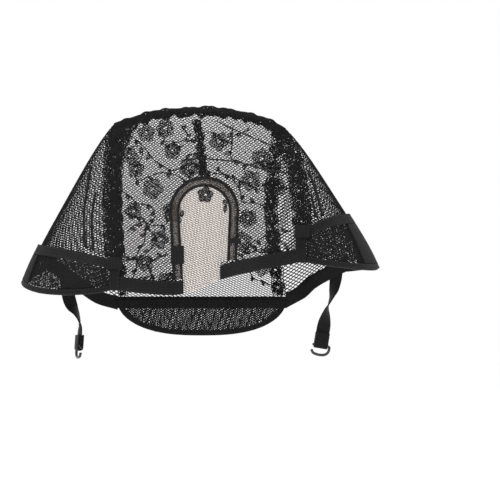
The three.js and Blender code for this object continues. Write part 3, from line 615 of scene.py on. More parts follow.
def group(name, inputs, outputs):
    tree = bpy.data.node_groups.new(name, "ShaderNodeTree")
    for label, kind, default in inputs:
        socket = tree.interface.new_socket(label, in_out="INPUT", socket_type=kind)
        socket.default_value = default
    for label, kind in outputs:
        tree.interface.new_socket(label, in_out="OUTPUT", socket_type=kind)
    return tree, tree.nodes.new("NodeGroupInput"), tree.nodes.new("NodeGroupOutput")


def math_node(tree, operation, first, second=None):
    node = tree.nodes.new("ShaderNodeMath")
    node.operation = operation
    for socket, value in zip(node.inputs, (first, second)):
        if value is None:
            continue
        if isinstance(value, (int, float)):
            socket.default_value = value
        else:
            tree.links.new(value, socket)
    return node.outputs[0]


def fibre_group():
    """Uneven dye and fluff of spun thread."""
    found = bpy.data.node_groups.get("spun fibre")
    if found:
        return found
    tree, start, end = group("spun fibre", [("Colour", "NodeSocketColor", (0.02, 0.02, 0.02, 1)),
                                            ("Grain", "NodeSocketFloat", 900.0),
                                            ("Variation", "NodeSocketFloat", 0.35)],
                             [("Colour", "NodeSocketColor"), ("Height", "NodeSocketFloat")])
    place = tree.nodes.new("ShaderNodeTexCoord").outputs["Object"]
    fine = tree.nodes.new("ShaderNodeTexNoise")
    fine.inputs["Detail"].default_value = 3
    tree.links.new(place, fine.inputs["Vector"])
    tree.links.new(start.outputs["Grain"], fine.inputs["Scale"])
    broad = tree.nodes.new("ShaderNodeTexNoise")
    broad.inputs["Scale"].default_value = 45
    tree.links.new(place, broad.inputs["Vector"])
    both = math_node(tree, "ADD", fine.outputs["Fac"], broad.outputs["Fac"])
    swing = math_node(tree, "MULTIPLY", math_node(tree, "SUBTRACT", both, 1.0), start.outputs["Variation"])
    shade = tree.nodes.new("ShaderNodeVectorMath")
    shade.operation = "SCALE"
    tree.links.new(start.outputs["Colour"], shade.inputs[0])
    shade_scale = math_node(tree, "ADD", math_node(tree, "MULTIPLY", swing, 2.0), 1.0)
    tree.links.new(shade_scale, shade.inputs["Scale"])
    tree.links.new(shade.outputs[0], end.inputs["Colour"])
    tree.links.new(fine.outputs["Fac"], end.inputs["Height"])
    return tree


def weave_group():
    """A rib weave that follows the cloth, from UVs in millimetres. Height feeds the bump; Shade is painted
    shade in the grooves and painted light on the raised ribs.
    """
    found = bpy.data.node_groups.get("rib weave")
    if found:
        return found
    tree, start, end = group("rib weave",
                             [("Rib", "NodeSocketFloat", 1.3), ("Pick", "NodeSocketFloat", 0.7)],
                             [("Height", "NodeSocketFloat"), ("Shade", "NodeSocketFloat")])
    uv = tree.nodes.new("ShaderNodeUVMap")
    uv.uv_map = "UVMap"
    split = tree.nodes.new("ShaderNodeSeparateXYZ")
    tree.links.new(uv.outputs[0], split.inputs[0])

    def wave(coordinate, spacing, shift=None):
        turn = math_node(tree, "MULTIPLY", math_node(tree, "DIVIDE", coordinate, spacing), 2 * math.pi)
        if shift is not None:
            turn = math_node(tree, "ADD", turn, shift)
        return math_node(tree, "SINE", turn)

    rib = wave(split.outputs[0], start.outputs["Rib"])
    column = math_node(tree, "FLOOR", math_node(tree, "DIVIDE", split.outputs[0], start.outputs["Rib"]))
    pick = wave(split.outputs[1], start.outputs["Pick"], math_node(tree, "MULTIPLY", column, math.pi))
    height = math_node(tree, "ADD", math_node(tree, "MULTIPLY", rib, 0.35),
                       math_node(tree, "MULTIPLY", pick, 0.3))
    height = math_node(tree, "ADD", height, 0.5)
    tree.links.new(height, end.inputs["Height"])
    # Painted shade and light: darker in the grooves, lighter on the raised ribs.
    shade = math_node(tree, "ADD", math_node(tree, "MULTIPLY", height, 1.3), 0.35)
    tree.links.new(shade, end.inputs["Shade"])
    return tree


def new_material(name, roughness, sheen=0.0, metallic=0.0, specular=0.12):
    """A material of a name, with its tree and shader if it is new."""
    material = bpy.data.materials.get(name)
    if material:
        return material, None, None
    material = bpy.data.materials.new(name)
    material.use_nodes = True
    tree = material.node_tree
    shader = tree.nodes["Principled BSDF"]
    shader.inputs["Roughness"].default_value = roughness
    shader.inputs["Metallic"].default_value = metallic
    shader.inputs["Specular IOR Level"].default_value = specular
    shader.inputs["Sheen Weight"].default_value = sheen
    shader.inputs["Sheen Roughness"].default_value = 0.5
    return material, tree, shader


def link_bump(tree, shader, height, strength, distance):
    bump = tree.nodes.new("ShaderNodeBump")
    bump.inputs["Strength"].default_value = strength
    bump.inputs["Distance"].default_value = distance * MM
    tree.links.new(height, bump.inputs["Height"])
    tree.links.new(bump.outputs[0], shader.inputs["Normal"])


def place_group(tree, shared, **values):
    """Places a shared shader group in a material, with the material's own values."""
    node = tree.nodes.new("ShaderNodeGroup")
    node.node_tree = shared
    for name, value in values.items():
        node.inputs[name].default_value = value
    return node


def thread_material(name, colour, roughness=0.8, sheen=0.03, variation=0.35):
    """Spun thread, for nets, lace and stitching."""
    material, tree, shader = new_material(name, roughness, sheen)
    if tree:
        fibre = place_group(tree, fibre_group(), Colour=(*colour, 1), Variation=variation)
        tree.links.new(fibre.outputs["Colour"], shader.inputs["Base Color"])
        link_bump(tree, shader, fibre.outputs["Height"], 0.4, 0.1)
    return material


def woven_material(name, colour, rib, pick, roughness=0.85, sheen=0.03):
    """Ribbed woven tape, with painted shade in its grooves and painted light on its ribs. Rib and pick are
    spacings in millimetres.
    """
    material, tree, shader = new_material(name, roughness, sheen)
    if tree:
        fibre = place_group(tree, fibre_group(), Colour=(*colour, 1), Variation=0.5)
        weave = place_group(tree, weave_group(), Rib=rib, Pick=pick)
        # The weave's Shade scales the colour: painted shade in the grooves, painted light on the ribs.
        shade = tree.nodes.new("ShaderNodeVectorMath")
        shade.operation = "SCALE"
        tree.links.new(fibre.outputs["Colour"], shade.inputs[0])
        tree.links.new(weave.outputs["Shade"], shade.inputs["Scale"])
        tree.links.new(shade.outputs[0], shader.inputs["Base Color"])
        both = math_node(tree, "ADD", weave.outputs["Height"],
                         math_node(tree, "MULTIPLY", fibre.outputs["Height"], 0.4))
        link_bump(tree, shader, both, 0.7, 0.25)
    return material


def metal_material(name, colour):
    material, tree, shader = new_material(name, 0.3, metallic=1.0, specular=0.5)
    if tree:
        fibre = place_group(tree, fibre_group(), Colour=(*colour, 1), Grain=500.0, Variation=0.25)
        tree.links.new(fibre.outputs["Colour"], shader.inputs["Base Color"])
        rough = math_node(tree, "ADD", math_node(tree, "MULTIPLY", fibre.outputs["Height"], 0.25), 0.18)
        tree.links.new(rough, shader.inputs["Roughness"])
    return material


def material_for(kind):
    colours = bpy.context.scene.wigcap_colours
    makers = {
        "lace": lambda: thread_material("lace thread", colours.lace),
        "net": lambda: thread_material("net thread", colours.net),
        "stitch": lambda: thread_material("sewing thread", colours.thread, 0.6, 0.08, 0.3),
        "parting": lambda: thread_material("nude net thread", colours.parting, 0.7, 0.0, 0.1),
        "casing": lambda: thread_material("casing ribbon thread", colours.casing, 0.6, 0.05, 0.5),
        "elastic": lambda: woven_material("ribbed elastic", colours.elastic, 1.1, 0.6),
        "binding": lambda: woven_material("fine binding tape", colours.binding, 0.55, 0.45, 0.7, 0.05),
        "metal": lambda: metal_material("gunmetal wire", colours.metal),
    }
    return makers[kind]()


def woven(node, place, across, along, finish="elastic"):
    """A woven tape that stands for one of the cap's tapes, in its finish."""
    dress(wall(f"{node}_woven", place, across, along, SEWN, OVER + TAPE), finish, [node])


def dress(piece, kind, nodes=()):
    """Gives a finished piece its material and the body that it rides on, and hides the CAD nodes that it
    stands for.
    """
    piece.data.materials.clear()
    piece.data.materials.append(material_for(kind))
    if nodes:
        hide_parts(*nodes)
    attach(piece, "root")
    return piece


def front_of(back):
    """The front view's own X and Z, on the front (-1) or the back (1)."""
    return lambda a, b: (a, b, np.full(np.shape(a), float(back)))


def crown_inside(left, right, hem, margin=0.25):
    """Whether a point lies between two seams, the crest and a hem."""
    def inside(x, z):
        xl, xr = left["x"](seam_share(left, z)), right["x"](seam_share(right, z))
        return (x > xl + margin) & (x < xr - margin) & (z < crest_z(x) - 0.15) & (z > hem(x) + margin)
    return inside


# The crown lace in the front view: flowers by their middles, stems by the points that they pass.
FLOWERS_FRONT = [
    (-46, -44), (-34, -58), (-20, -31), (13, -24), (36, -52), (34, -79), (-29, -94), (-8, -43),
    (-39, -18), (54, -57), (51, -101),
]
VINES_FRONT = [
    [(-56, -28), (-42, -30), (-46, -52), (-28, -46), (-8, -52), (-10, -36), (2, -30)],
    [(24, -12), (22, -34), (32, -40), (48, -40), (46, -60), (60, -56)],
    [(-56, -60), (-44, -68), (-32, -74), (-38, -88), (-44, -104), (-52, -110)],
    [(66, -88), (48, -90), (46, -72), (30, -66), (26, -54), (10, -44)],
    [(-24, -104), (-36, -112), (-32, -124)],
    [(-30, -14), (-24, -24), (-10, -22), (-14, -12)],
    [(-52, -88), (-42, -82), (-26, -84), (-24, -70)],
    [(30, -104), (38, -96), (50, -92), (62, -98)],
]
FLOWERS_BACK = [
    (-50, -74), (-22, -74), (-42, -112), (44, -116), (44, -36), (-26, -14), (30, -96), (-52, -34),
    (52, -70), (-26, -126),
]
VINES_BACK = [
    [(-52, -18), (-36, -34), (-24, -44), (-8, -40), (10, -46), (30, -52), (48, -62)],
    [(-56, -76), (-44, -80), (-34, -96), (-46, -110), (-50, -124)],
    [(50, -104), (38, -104), (30, -108), (38, -122), (50, -128)],
    [(-54, -128), (-40, -122), (-30, -126), (-20, -118)],
    [(-30, -24), (-14, -26), (2, -16), (18, -22), (34, -14)],
]
GUIDES = [
    [(-9.4, -36.9), (5.1, -36.9), (26.1, -39.1), (47.1, -44.9), (64, -47)],
    [(10.5, -9.4), (26.1, -16.7), (50, -26.8), (60, -30)],
]
SIDE_SEAMS = {
    "side_seam_left_1": [(-42, -78.4), (-64, -81.8), (-77, -83.3), (-100, -82)],
    "side_seam_left_2": [(-61, -74.9), (-80, -77.5), (-102, -76.5)],
    "side_seam_right_1": [(-45, 76.6), (-58, 81.8), (-77, 86.8)],
    "side_seam_right_2": [(-62, 78.8), (-79, 82.6)],
}


def floral_net(name, back, pitch, thread, angles, second, flowers, vines, inside, seed, node):
    """One crown panel: its net, its flowers and its stems."""
    threads = Threads()
    place = front_of(back)
    n = nets()
    low, high = (-75, -142), (80, 0)
    net(threads, place, inside, low, high, pitch, thread, 0.3,
        warp=cloth_warp(0.8, 34, seed), angles=angles, step=3.6, second=second)
    rng = np.random.default_rng(seed)
    for at in flowers:
        rose(threads, place, at, mm(n.flower) * rng.uniform(0.85, 1.12), rng.uniform(0, 6.3),
             inside, weight=0.82)
    for k, stops in enumerate(vines):
        vine(threads, place, stops, inside, seed + k)
    piece = dress(threads.obj(name), "lace", [node])


class WIGCAP_OT_crown(Operator):
    """Front and back crown panels of floral lace on a diagonal net, with the guide threads"""
    bl_idname = "wigcap.crown"
    bl_label = "Crown lace"

    def execute(self, context):
        n = nets()
        front = crown_inside(FRONT_LEFT, FRONT_RIGHT, FRONT_HEM)

        def around_opening(x, z):
            return front(x, z) & ~in_opening(x, z, -0.4)

        floral_net("crown_front_threads", -1, mm(n.crown_pitch), mm(n.crown_thread), (39, -62), 0.34,
                   FLOWERS_FRONT, VINES_FRONT, around_opening,
                   3, "crown_lace_front")
        back = crown_inside(BACK_LEFT, BACK_RIGHT, lambda x: np.full(np.shape(x), NAPE_JOIN))
        floral_net("crown_back_threads", 1, mm(n.back_pitch), mm(n.back_thread), (-30, 14), 0.6,
                   FLOWERS_BACK, VINES_BACK, back,
                   11, "crown_lace_back")
        guides = Threads()
        for stops in GUIDES:
            a, b = np.array(stops, float).T
            share = np.linspace(0, 1, len(a))
            fine = np.linspace(0, 1, 40)
            line = (curve(list(zip(share, a)))(fine), curve(list(zip(share, b)))(fine))
            cords(guides, front_of(-1), [line], 1.25, 0.5, 1.0)
        dress(guides.obj("guide_threads"), "stitch")
        return {"FINISHED"}


def casing_strip(start, end):
    """A strip along the casing, between two distances from its middle line."""
    def place(u, v):
        x, z, nx, nz = casing_line(v)
        off = lerp(start, end, u)
        return x + nx * off, z + nz * off, np.full(np.shape(x), -1.0)
    return place


def patch_place(x0, x1, z0, z1):
    """A rectangle on the front, left, right, top and foot."""
    return lambda u, v: (lerp(x0, x1, u), lerp(z0, z1, v), np.full(np.shape(u), -1.0))


class WIGCAP_OT_part(Operator):
    """Nude parting net in its U-shaped opening, the casing ribbon, its dark edges and its tacks"""
    bl_idname = "wigcap.part"
    bl_label = "Part opening"

    def execute(self, context):
        n = nets()
        threads = Threads()

        def inside(x, z):
            return in_opening(x, z, 0.4) & (z > FRONT_HEM(x) + 0.1)

        net(threads, front_of(-1), inside, (-22, -136), (26, -50), mm(n.part_pitch), mm(n.part_thread), 0.3,
            angles=(48, -48), warp=cloth_warp(0.8, 22, 5))
        hem = np.linspace(BAND_ENDS[0] + 0.5, BAND_ENDS[1] - 0.5, 14)
        cords(threads, front_of(-1), [(hem, FRONT_HEM(hem) + 0.4)], 0.5, 0.4, 0.2)
        piece = dress(threads.obj("parting_threads"), "parting", ["parting_net"])

        ribbon = Threads()
        strip = casing_strip(-CASING / 2 + PIPING, CASING / 2 - PIPING - 0.2)
        width, length = 4.0, 125.0

        def place(a, b):
            return strip(a / width, b / length)

        def on_ribbon(a, b):
            return (a > 0) & (a < width) & (b > 0) & (b < length)

        net(ribbon, place, on_ribbon, (0, 0), (width, length), 0.62, 0.42, 0.3, lift=OVER,
            angles=(90, 0), step=1.6)
        dress(ribbon.obj("casing_ribbon"), "casing", ["part_casing"])
        for name, low, high in [("casing_edge_outer", CASING / 2 - PIPING - 0.6, CASING / 2 + 0.2),
                                ("casing_edge_inner", -CASING / 2, -CASING / 2 + PIPING + 0.4)]:
            piping = wall(name + "_piping", casing_strip(low, high), 2, 90, SEWN, OVER + NET)
            dress(piping, "elastic", [name])
        tacks = [("casing_tack_left", TACK_LEFT), ("casing_tack_right", TACK_RIGHT)]
        for name, size in tacks:
            dress(wall(name + "_woven", patch_place(*size), 8, 10, PATCHED, TOP + NET), "elastic", [name])
        ticks = Threads()
        rng = np.random.default_rng(15)
        for share in np.linspace(0.015, 0.985, 34):
            for side in (-1, 1):
                u = np.linspace(0, 1, 4)
                tick = casing_strip(side * (CASING / 2 - rng.uniform(1.8, 4.2)), side * (CASING / 2 + 0.2))
                x, z, facing = tick(u, share + rng.uniform(-0.006, 0.006) * u)
                points, normals = cap(x, z, facing, OVER + NET)
                ticks.lay(points, normals, rng.uniform(0.3, 0.65), 0.25)
        dress(ticks.obj("casing_ticks"), "stitch")
        return {"FINISHED"}


def scalloped(width, count, depth):
    """Half width of a lace band with scalloped edges."""
    return lambda v: width(v) / 2 - depth * (1 - np.abs(np.sin(math.pi * count * v)))


def flared(top, foot):
    """Width of a lace band that narrows over its first quarter."""
    return lambda v: lerp(foot, top, np.maximum(0, 1 - 4 * v))


class WIGCAP_OT_lace(Operator):
    """Scalloped lace over the seams, the crest lace, the centre strip and the small rosette"""
    bl_idname = "wigcap.lace"
    bl_label = "Lace bands"

    def band(self, name, band, foot, width, count, seed, lean=0.0):
        """Scalloped, pierced lace over one seam, leaning outwards at its top."""
        n = nets()
        inner = band["x"](0) - band["side"]["sign"] * width(0) / 2
        top = seam_share(band, float(crest_z(inner)) - 0.5)
        end = seam_share(band, foot)
        half = scalloped(width, count, SCALLOP + 0.3)
        solid, edging = pinholes(seed), pinholes(seed + 50, 1.9, 0.5, 0.9)
        length = abs(seam_point(band, end)[1] - seam_point(band, top)[1])
        facing = float(band["back"])

        def place(a, b):
            x, z = seam_point(band, lerp(top, end, b / length))
            x = x - band["side"]["sign"] * lean * np.maximum(0, 1 - 4 * b / length)
            return x + a, z, np.full(np.shape(a), facing)

        def inside(a, b):
            x, z, _ = place(a, b)
            return ((b > 0.2) & (b < length - 0.2) & (np.abs(a) < half(b / length))
                    & (z < crest_z(x) - 0.4) & (inside_side(band["side"], x, z) > 0.9))

        def pierced(a, b):
            return inside(a, b) & solid(a, b) & (edging(a, b) | (np.abs(a) < 0.55 * half(b / length)))

        threads = Threads()
        reach = float(width(0)) / 2
        net(threads, place, pierced, (-reach, 0), (reach, length), mm(n.lace_pitch), mm(n.lace_thread), 0.3,
            lift=SEWN, angles=(35, -35), step=2.0, warp=cloth_warp(0.4, 12, seed))
        b = np.linspace(0.3, length - 0.3, 12 * count)
        for sign in (-1, 1):
            for inset, thick in ((0.3, 0.7), (1.5, 0.5)):
                cords(threads, place, [(sign * (half(b / length) - inset), b)], thick, 0.45,
                      SEWN + 0.1, inside)
        rng = np.random.default_rng(seed)
        for k in range(count):
            middle = (k + 0.5) * length / count
            rose(threads, place, (rng.uniform(-0.8, 0.8), middle), 0.42 * float(width(middle / length)),
                 rng.uniform(0, 6), inside, SEWN + 0.3, weight=1.15)
            leaf(threads, place, (-1, middle + 0.3 * length / count), 4.0, 1.2, inside, SEWN + 0.3)
            leaf(threads, place, (1, middle + 0.3 * length / count), 4.0, 1.9, inside, SEWN + 0.3)
        dress(threads.obj(name + "_threads"), "lace", [name])

    def execute(self, context):
        self.band("lace_band_front_left", FRONT_LEFT, TAB_LEFT["top"] + 0.3, flared(27, 15.5), 9, 21,
                  4.5)
        self.band("lace_band_front_right", FRONT_RIGHT, TAB_RIGHT["top"] + 0.3, flared(17, 15), 7, 22)
        self.band("lace_band_back_left", BACK_LEFT, NAPE_TAPE[0] + SEAM, flared(12, 8), 10, 23)
        self.band("lace_band_back_right", BACK_RIGHT, NAPE_TAPE[0] + SEAM, flared(10, 10.5), 10, 24)
        self.crest()
        self.strip()
        return {"FINISHED"}

    def crest(self):
        """Gathered lace laid over the crest, falling to the front and to the back."""
        n = nets()
        start, end = LEFT["crest"][0] - 1, RIGHT["crest"][0] + 1
        arc = 22.5  # Farthest that the net is laid to each side of the crest
        solid = pinholes(35, 3.2, 0.4, 1.3)

        def fall_at(x):
            scallops = np.abs(np.sin(CREST_SCALLOPS * math.pi * (x - start) / (end - start)))
            return CREST_BAND - 0.4 - 1.6 * scallops + 1.5 * np.sin(x * 0.17 + 2.2) * np.sin(x * 0.61 + 1)

        def place(a, b):
            w = np.clip(b / arc, -1, 1)
            return a, crest_z(a) - fall_at(a) * w * w, np.where(w < 0, -1.0, 1.0)

        def inside(a, b):
            x, z, _ = place(a, b)
            return ((a > start) & (a < end) & (np.abs(b) < arc) & (inside_side(LEFT, x, z) > 0.6)
                    & (inside_side(RIGHT, x, z) > 0.6))

        def pierced(a, b):
            return inside(a, b) & (solid(a, b) | (np.abs(b) < 5))

        def gathered(a, b):
            ripple = 0.6 + np.sin(a * 0.13 + 1) * np.sin(a * 0.29) + 0.3 * np.sin(a * 0.9 + 0.3 * b)
            return SEWN + 0.9 * np.maximum(0, ripple) * np.exp(-(b / 12) ** 2)

        threads = Threads()
        net(threads, place, pierced, (start, -arc), (end, arc), 1.2 * mm(n.lace_pitch),
            mm(n.lace_thread), 0.3, lift=gathered, angles=(38, -38), step=1.6,
            warp=cloth_warp(0.5, 14, 31))
        a = np.linspace(start + 0.2, end - 0.2, 160)
        for b in (-arc + 0.2, arc - 0.2, -arc + 2.2, arc - 2.2, -8.0, 8.0):
            cords(threads, place, [(a, np.full(160, b))], 0.6, 0.45, SEWN + 0.1, inside)
        rng = np.random.default_rng(33)
        for k in range(CREST_FLOWERS):
            middle = lerp(start, end, (k + 0.5) / CREST_FLOWERS)
            for b in (-15.0, 15.0):
                rose(threads, place, (middle, b + rng.uniform(-1, 1)), 4.6, rng.uniform(0, 6),
                     inside, SEWN + 0.4, weight=1.15)
            leaf(threads, place, (middle + 5, -12), 5.0, 0.6, inside, SEWN + 0.4)
            leaf(threads, place, (middle + 5, 12), 5.0, 2.6, inside, SEWN + 0.4)
        dress(threads.obj("crest_lace_threads"), "lace", ["crest_lace_band"])

    def strip(self):
        """Lace strip from the crest to the opening, and the small rosette."""
        n = nets()
        apex_z = U_SPRING + U_RADIUS + CASING / 2 + SEAM
        top_z, width, length = -CREST_BAND - 1.5, STRIP["width"], STRIP["length"]

        def place(a, b):
            share = np.clip(b / length, 0, 1)
            z = lerp(top_z, apex_z, share)
            x = lerp(STRIP["crest_x"], U_CENTRE - 0.3, share ** 0.7) + a
            return x, z, np.full(np.shape(a), -1.0)

        def half(b):
            return width / 2 - 0.8 * (1 - np.abs(np.sin(5 * math.pi * b / length))) + 0.7 * np.sin(b * 0.9)

        def inside(a, b):
            return (b > 0) & (b < length) & (np.abs(a) < half(b))

        threads = Threads()
        net(threads, place, inside, (-4, 0), (4, length), mm(n.lace_pitch), mm(n.lace_thread), 0.3,
            lift=SEWN, angles=(40, -40), step=1.6)
        b = np.linspace(0.2, length - 0.2, 60)
        for sign in (-1, 1):
            cords(threads, place, [(sign * (half(b) - 0.3), b)], 0.7, 0.5, SEWN + 0.1)
        for k in range(8):
            rose(threads, place, (0.5 * (-1) ** k, 3 + 5.6 * k), 2.6, k, inside, SEWN + 0.3, petals=4)
        dress(threads.obj("centre_strip_threads"), "lace", ["centre_lace_strip"])

        rosette = Threads()
        rose(rosette, front_of(-1), ROSETTE["at"], ROSETTE["reach"], 0.2, None, SEWN, weight=1.1)
        for at, turn in (((16.5, -66), -1.1), ((18, -70), -1.7), ((-13.5, -78), 1.3), ((-14, -82), 1.9)):
            leaf(rosette, front_of(-1), at, 5, turn, None, 0.7)
        dress(rosette.obj("apex_rosette_threads"), "lace", ["apex_rosette"])


def side_chart(front, back, tab):
    """Cloth coordinates on a side net: a runs round from the fold, b down from the crest."""
    (ax, az), (bx, bz) = tab["side"]["crest"], tab["side"]["tip"]
    length = math.hypot(bx - ax, bz - az)
    shares = np.linspace(0.02, 1, 50)
    girths = []
    for sign in (-1, 1):
        rows = []
        for share in shares:
            w = sign * np.linspace(0, 1, 40)
            points, _ = cap(*side_place(front, back, tab, w, np.full(40, share)))
            rows.append(np.linalg.norm(np.diff(points, axis=0), axis=1).sum())
        girths.append(np.array(rows))

    def w_at(a, share):
        front_girth = np.interp(share, shares, girths[0])
        back_girth = np.interp(share, shares, girths[1])
        return np.where(a < 0, a / front_girth, a / back_girth)

    def place(a, b):
        share = np.clip(b / length, 0.02, 1)
        return side_place(front, back, tab, np.clip(w_at(a, share), -1, 1), share)

    def inside(a, b):
        share = b / length
        return (share > 0.022) & (share < 0.998) & (np.abs(w_at(a, np.clip(share, 0.02, 1))) < 0.997)

    area = float((girths[0] + girths[1]).mean()) * length
    return place, inside, length, (float(girths[0][-1]), float(girths[1][-1])), area


def ribbon_place(rows, width):
    """A narrow strip down the front view, from rows of (Z, X)."""
    line = curve([(-z, x) for z, x in rows])
    top, foot = rows[0][0], rows[-1][0]

    def place(u, v):
        z = lerp(top, foot, v)
        return line(-z) + (u - 0.5) * width, z, np.full(np.shape(z), -1.0)
    return place


class WIGCAP_OT_sides(Operator):
    """Coarse nets that wrap round each side, with their thin dark seams"""
    bl_idname = "wigcap.sides"
    bl_label = "Side nets"

    def execute(self, context):
        n = nets()
        for name, front, back, tab, seed in [("side_net_left", FRONT_LEFT, BACK_LEFT, TAB_LEFT, 41),
                                             ("side_net_right", FRONT_RIGHT, BACK_RIGHT, TAB_RIGHT, 42)]:
            place, inside, length, (before, behind), area = side_chart(front, back, tab)
            threads = Threads()
            for facing, angles in ((-1, (25, -58)), (1, (14, -74))):
                def half(a, b):
                    return inside(a, b) & (a * facing >= 0)

                net(threads, place, half, (-before, 0), (behind, length), mm(n.side_pitch),
                    mm(n.side_thread), 0.35, angles=angles, warp=cloth_warp(1.2, 30, seed))
            b = np.linspace(0.03, 0.99, 60) * length
            for sign in (-1, 1):
                x, z, facing = side_place(front, back, tab, np.full(60, sign * 0.985), b / length)
                points, normals = cap(x, z, facing, 0.2)
                threads.lay(points, normals, 0.9, 0.6)
            piece = dress(threads.obj(name + "_threads"), "net", [name])
        for name, rows in SIDE_SEAMS.items():
            binding = wall(name + "_binding", ribbon_place(rows, SIDE_SEAM), 2, 40, 0.6, SEWN + NET)
            dress(binding, "elastic", [name])
        return {"FINISHED"}


def tab_place(tab, low, high, start=-1.0, end=1.0):
    """A strip round a tab between two shares of its height, each worked out from that height."""
    def place(u, v):
        w = lerp(start, end, u)
        height = tab_height(tab, w)
        return tab_point(tab, w, lerp(low(height), high(height), v))
    return place


class WIGCAP_OT_tabs(Operator):
    """Ear tabs: dense net, top tape, turned hem, woven fold, joint tape and patch"""
    bl_idname = "wigcap.tabs"
    bl_label = "Ear tabs"

    def execute(self, context):
        n = nets()
        for side, tab in (("left", TAB_LEFT), ("right", TAB_RIGHT)):
            def low(h):
                return (TAB_TAPE + SEAM) / h

            def high(h):
                return 1 - (HEM + SEAM) / h

            top = tab_place(tab, lambda h: 0 * h, lambda h: TAB_TAPE / h)
            hem = tab_place(tab, lambda h: 1 - HEM / h, lambda h: 0 * h + 1)
            fold = tab_place(tab, low, high, tab["edge"] + 0.012, 0.75)
            woven(f"tab_tape_{side}", top, 90, 6)
            woven(f"tab_hem_{side}", hem, 90, 4, "binding")
            woven(f"tab_fold_{side}", fold, 50, 12)
            x, z, facing = tab_point(tab, np.linspace(-1, tab["edge"], 40), 0.5)
            points, _ = cap(x, z, facing)
            girth = float(np.linalg.norm(np.diff(points, axis=0), axis=1).sum())
            tall = float(tab_height(tab, -0.6)) - TAB_TAPE - HEM

            def chart(a, b):
                w = lerp(-1, tab["edge"], np.clip(a / girth, 0, 1))
                h = tab_height(tab, w)
                return tab_point(tab, w, lerp(low(h), high(h), np.clip(b / tall, 0, 1)))

            def inside(a, b):
                return (a > 0.1) & (a < girth - 0.1) & (b > 0) & (b < tall)

            threads = Threads()
            net(threads, chart, inside, (0, 0), (girth, tall), mm(n.tab_pitch), mm(n.tab_thread), 0.2,
                lift=OVER - 0.3, angles=(40, -50), step=1.2, warp=cloth_warp(0.7, 1.5, 51))
            piece = dress(threads.obj(f"ear_tab_{side}_threads"), "net", [f"ear_tab_{side}"])
            joint, foot, top_z = tab["joint"], tab["foot"], tab["top"]
            tape = patch_place(joint - JOINT / 2, joint + JOINT / 2, top_z, foot)
            woven(f"tab_joint_{side}", tape, 6, 20)
            z = top_z + tab["lace"] - PATCH["lift"]
            place = patch_place(joint - PATCH["left"], joint + PATCH["right"], z, z - PATCH["height"])
            patch = wall(f"joint_patch_{side}_woven", place, 8, 8, PATCHED, TOP + NET)
            dress(patch, "elastic", [f"joint_patch_{side}"])
        return {"FINISHED"}


def back_tape_place(tab):
    """The tape from the nape to an ear tab."""
    sign = tab["side"]["sign"]
    start, end = sign * BACK_TAPE_START, tab["flap"][0] + sign * FLAP_GAP

    def place(u, v):
        x = lerp(start, end, v)
        z = tab["tape"](x) + (u - 0.5) * BACK_TAPE * tape_stretch(tab["tape"], x)
        return x, z, np.full(np.shape(x), 1.0)
    return place


def band_place(tab, end):
    """The elastic band along one half of the front hem."""
    start = tab["joint"] - tab["side"]["sign"] * JOINT / 2

    def place(u, v):
        x = lerp(start, end, v)
        return x, FRONT_HEM(x) + u * BAND_HEIGHT, np.full(np.shape(x), -1.0)
    return place


def nape_tape_place(u, v):
    """The tape over the join of crown and nape panel."""
    z = lerp(NAPE_TAPE[0], NAPE_TAPE[1], u)
    return (2 * v - 1) * NAPE_TAPE_HALF, z, np.full(np.shape(v), 1.0)


def binding_place(u, v):
    """The bound rounded edge of the nape panel."""
    drop = NAPE_JOIN - NAPE_FOOT
    widest = math.acos((NAPE_JOIN - NAPE_TAPE[1] - 1) / drop)

    def edge(angle):
        return (NAPE_HALF * np.sign(angle) * np.abs(np.sin(angle)) ** (2 / NAPE_POWER),
                NAPE_JOIN - drop * np.cos(angle))

    angle = lerp(-widest, widest, v)
    (ax, az), (bx, bz) = edge(angle - 0.01), edge(angle + 0.01)
    length = np.hypot(bx - ax, bz - az)
    x, z = edge(angle)
    off = BINDING * u
    return x - (bz - az) / length * off, z + (bx - ax) / length * off, np.full(np.shape(x), 1.0)


class WIGCAP_OT_hems(Operator):
    """Elastic front bands and the tapes that run from the nape to the ear tabs"""
    bl_idname = "wigcap.hems"
    bl_label = "Hem bands"

    def execute(self, context):
        for side, tab, end in (("left", TAB_LEFT, BAND_ENDS[0]), ("right", TAB_RIGHT, BAND_ENDS[1])):
            woven(f"front_band_{side}", band_place(tab, end), 8, 40)
            woven(f"back_tape_{side}", back_tape_place(tab), 8, 50)
        return {"FINISHED"}


class WIGCAP_OT_nape(Operator):
    """Dense nape net, its tape with bar tacks, and the bound rounded edge"""
    bl_idname = "wigcap.nape"
    bl_label = "Nape"

    def execute(self, context):
        n = nets()

        def fall(x):
            return (NAPE_JOIN - NAPE_FOOT) * np.sqrt(np.maximum(0, 1 - np.abs(x / NAPE_HALF) ** NAPE_POWER))

        def inside(x, z):
            return (z < NAPE_JOIN - 0.2) & (z > NAPE_JOIN - fall(x) + 0.3)

        threads = Threads()
        net(threads, front_of(1), inside, (-63, -167), (63, -138), mm(n.nape_pitch), mm(n.nape_thread),
            0.15, angles=(36, -36), step=1.2, warp=cloth_warp(0.35, 1.5, 61))
        piece = dress(threads.obj("nape_panel_threads"), "net", ["nape_panel"])
        woven("nape_tape", nape_tape_place, 6, 80)
        woven("nape_binding", binding_place, 4, 120, "binding")
        for i in range(BAR_TACK["count"]):
            x = BAR_TACK["centre"] + (i - (BAR_TACK["count"] - 1) / 2) * BAR_TACK["pitch"]
            threads = Threads()
            turns = 17
            zig = np.arange(2 * turns)
            a = x + BAR_TACK["half"] * np.where(zig % 2, 1, -1)
            past = BAR_TACK["past"]
            b = np.linspace(NAPE_TAPE[0] - past, NAPE_TAPE[1] + past, 2 * turns)
            points, normals = cap(a, b, 1.0, TOP - LAYER_GAP + 0.1)
            threads.lay(points, normals, 0.42, 0.45)
            dress(threads.obj(f"bar_tack_{i + 1}_threads"), "stitch", [f"bar_tack_{i + 1}"])
        return {"FINISHED"}


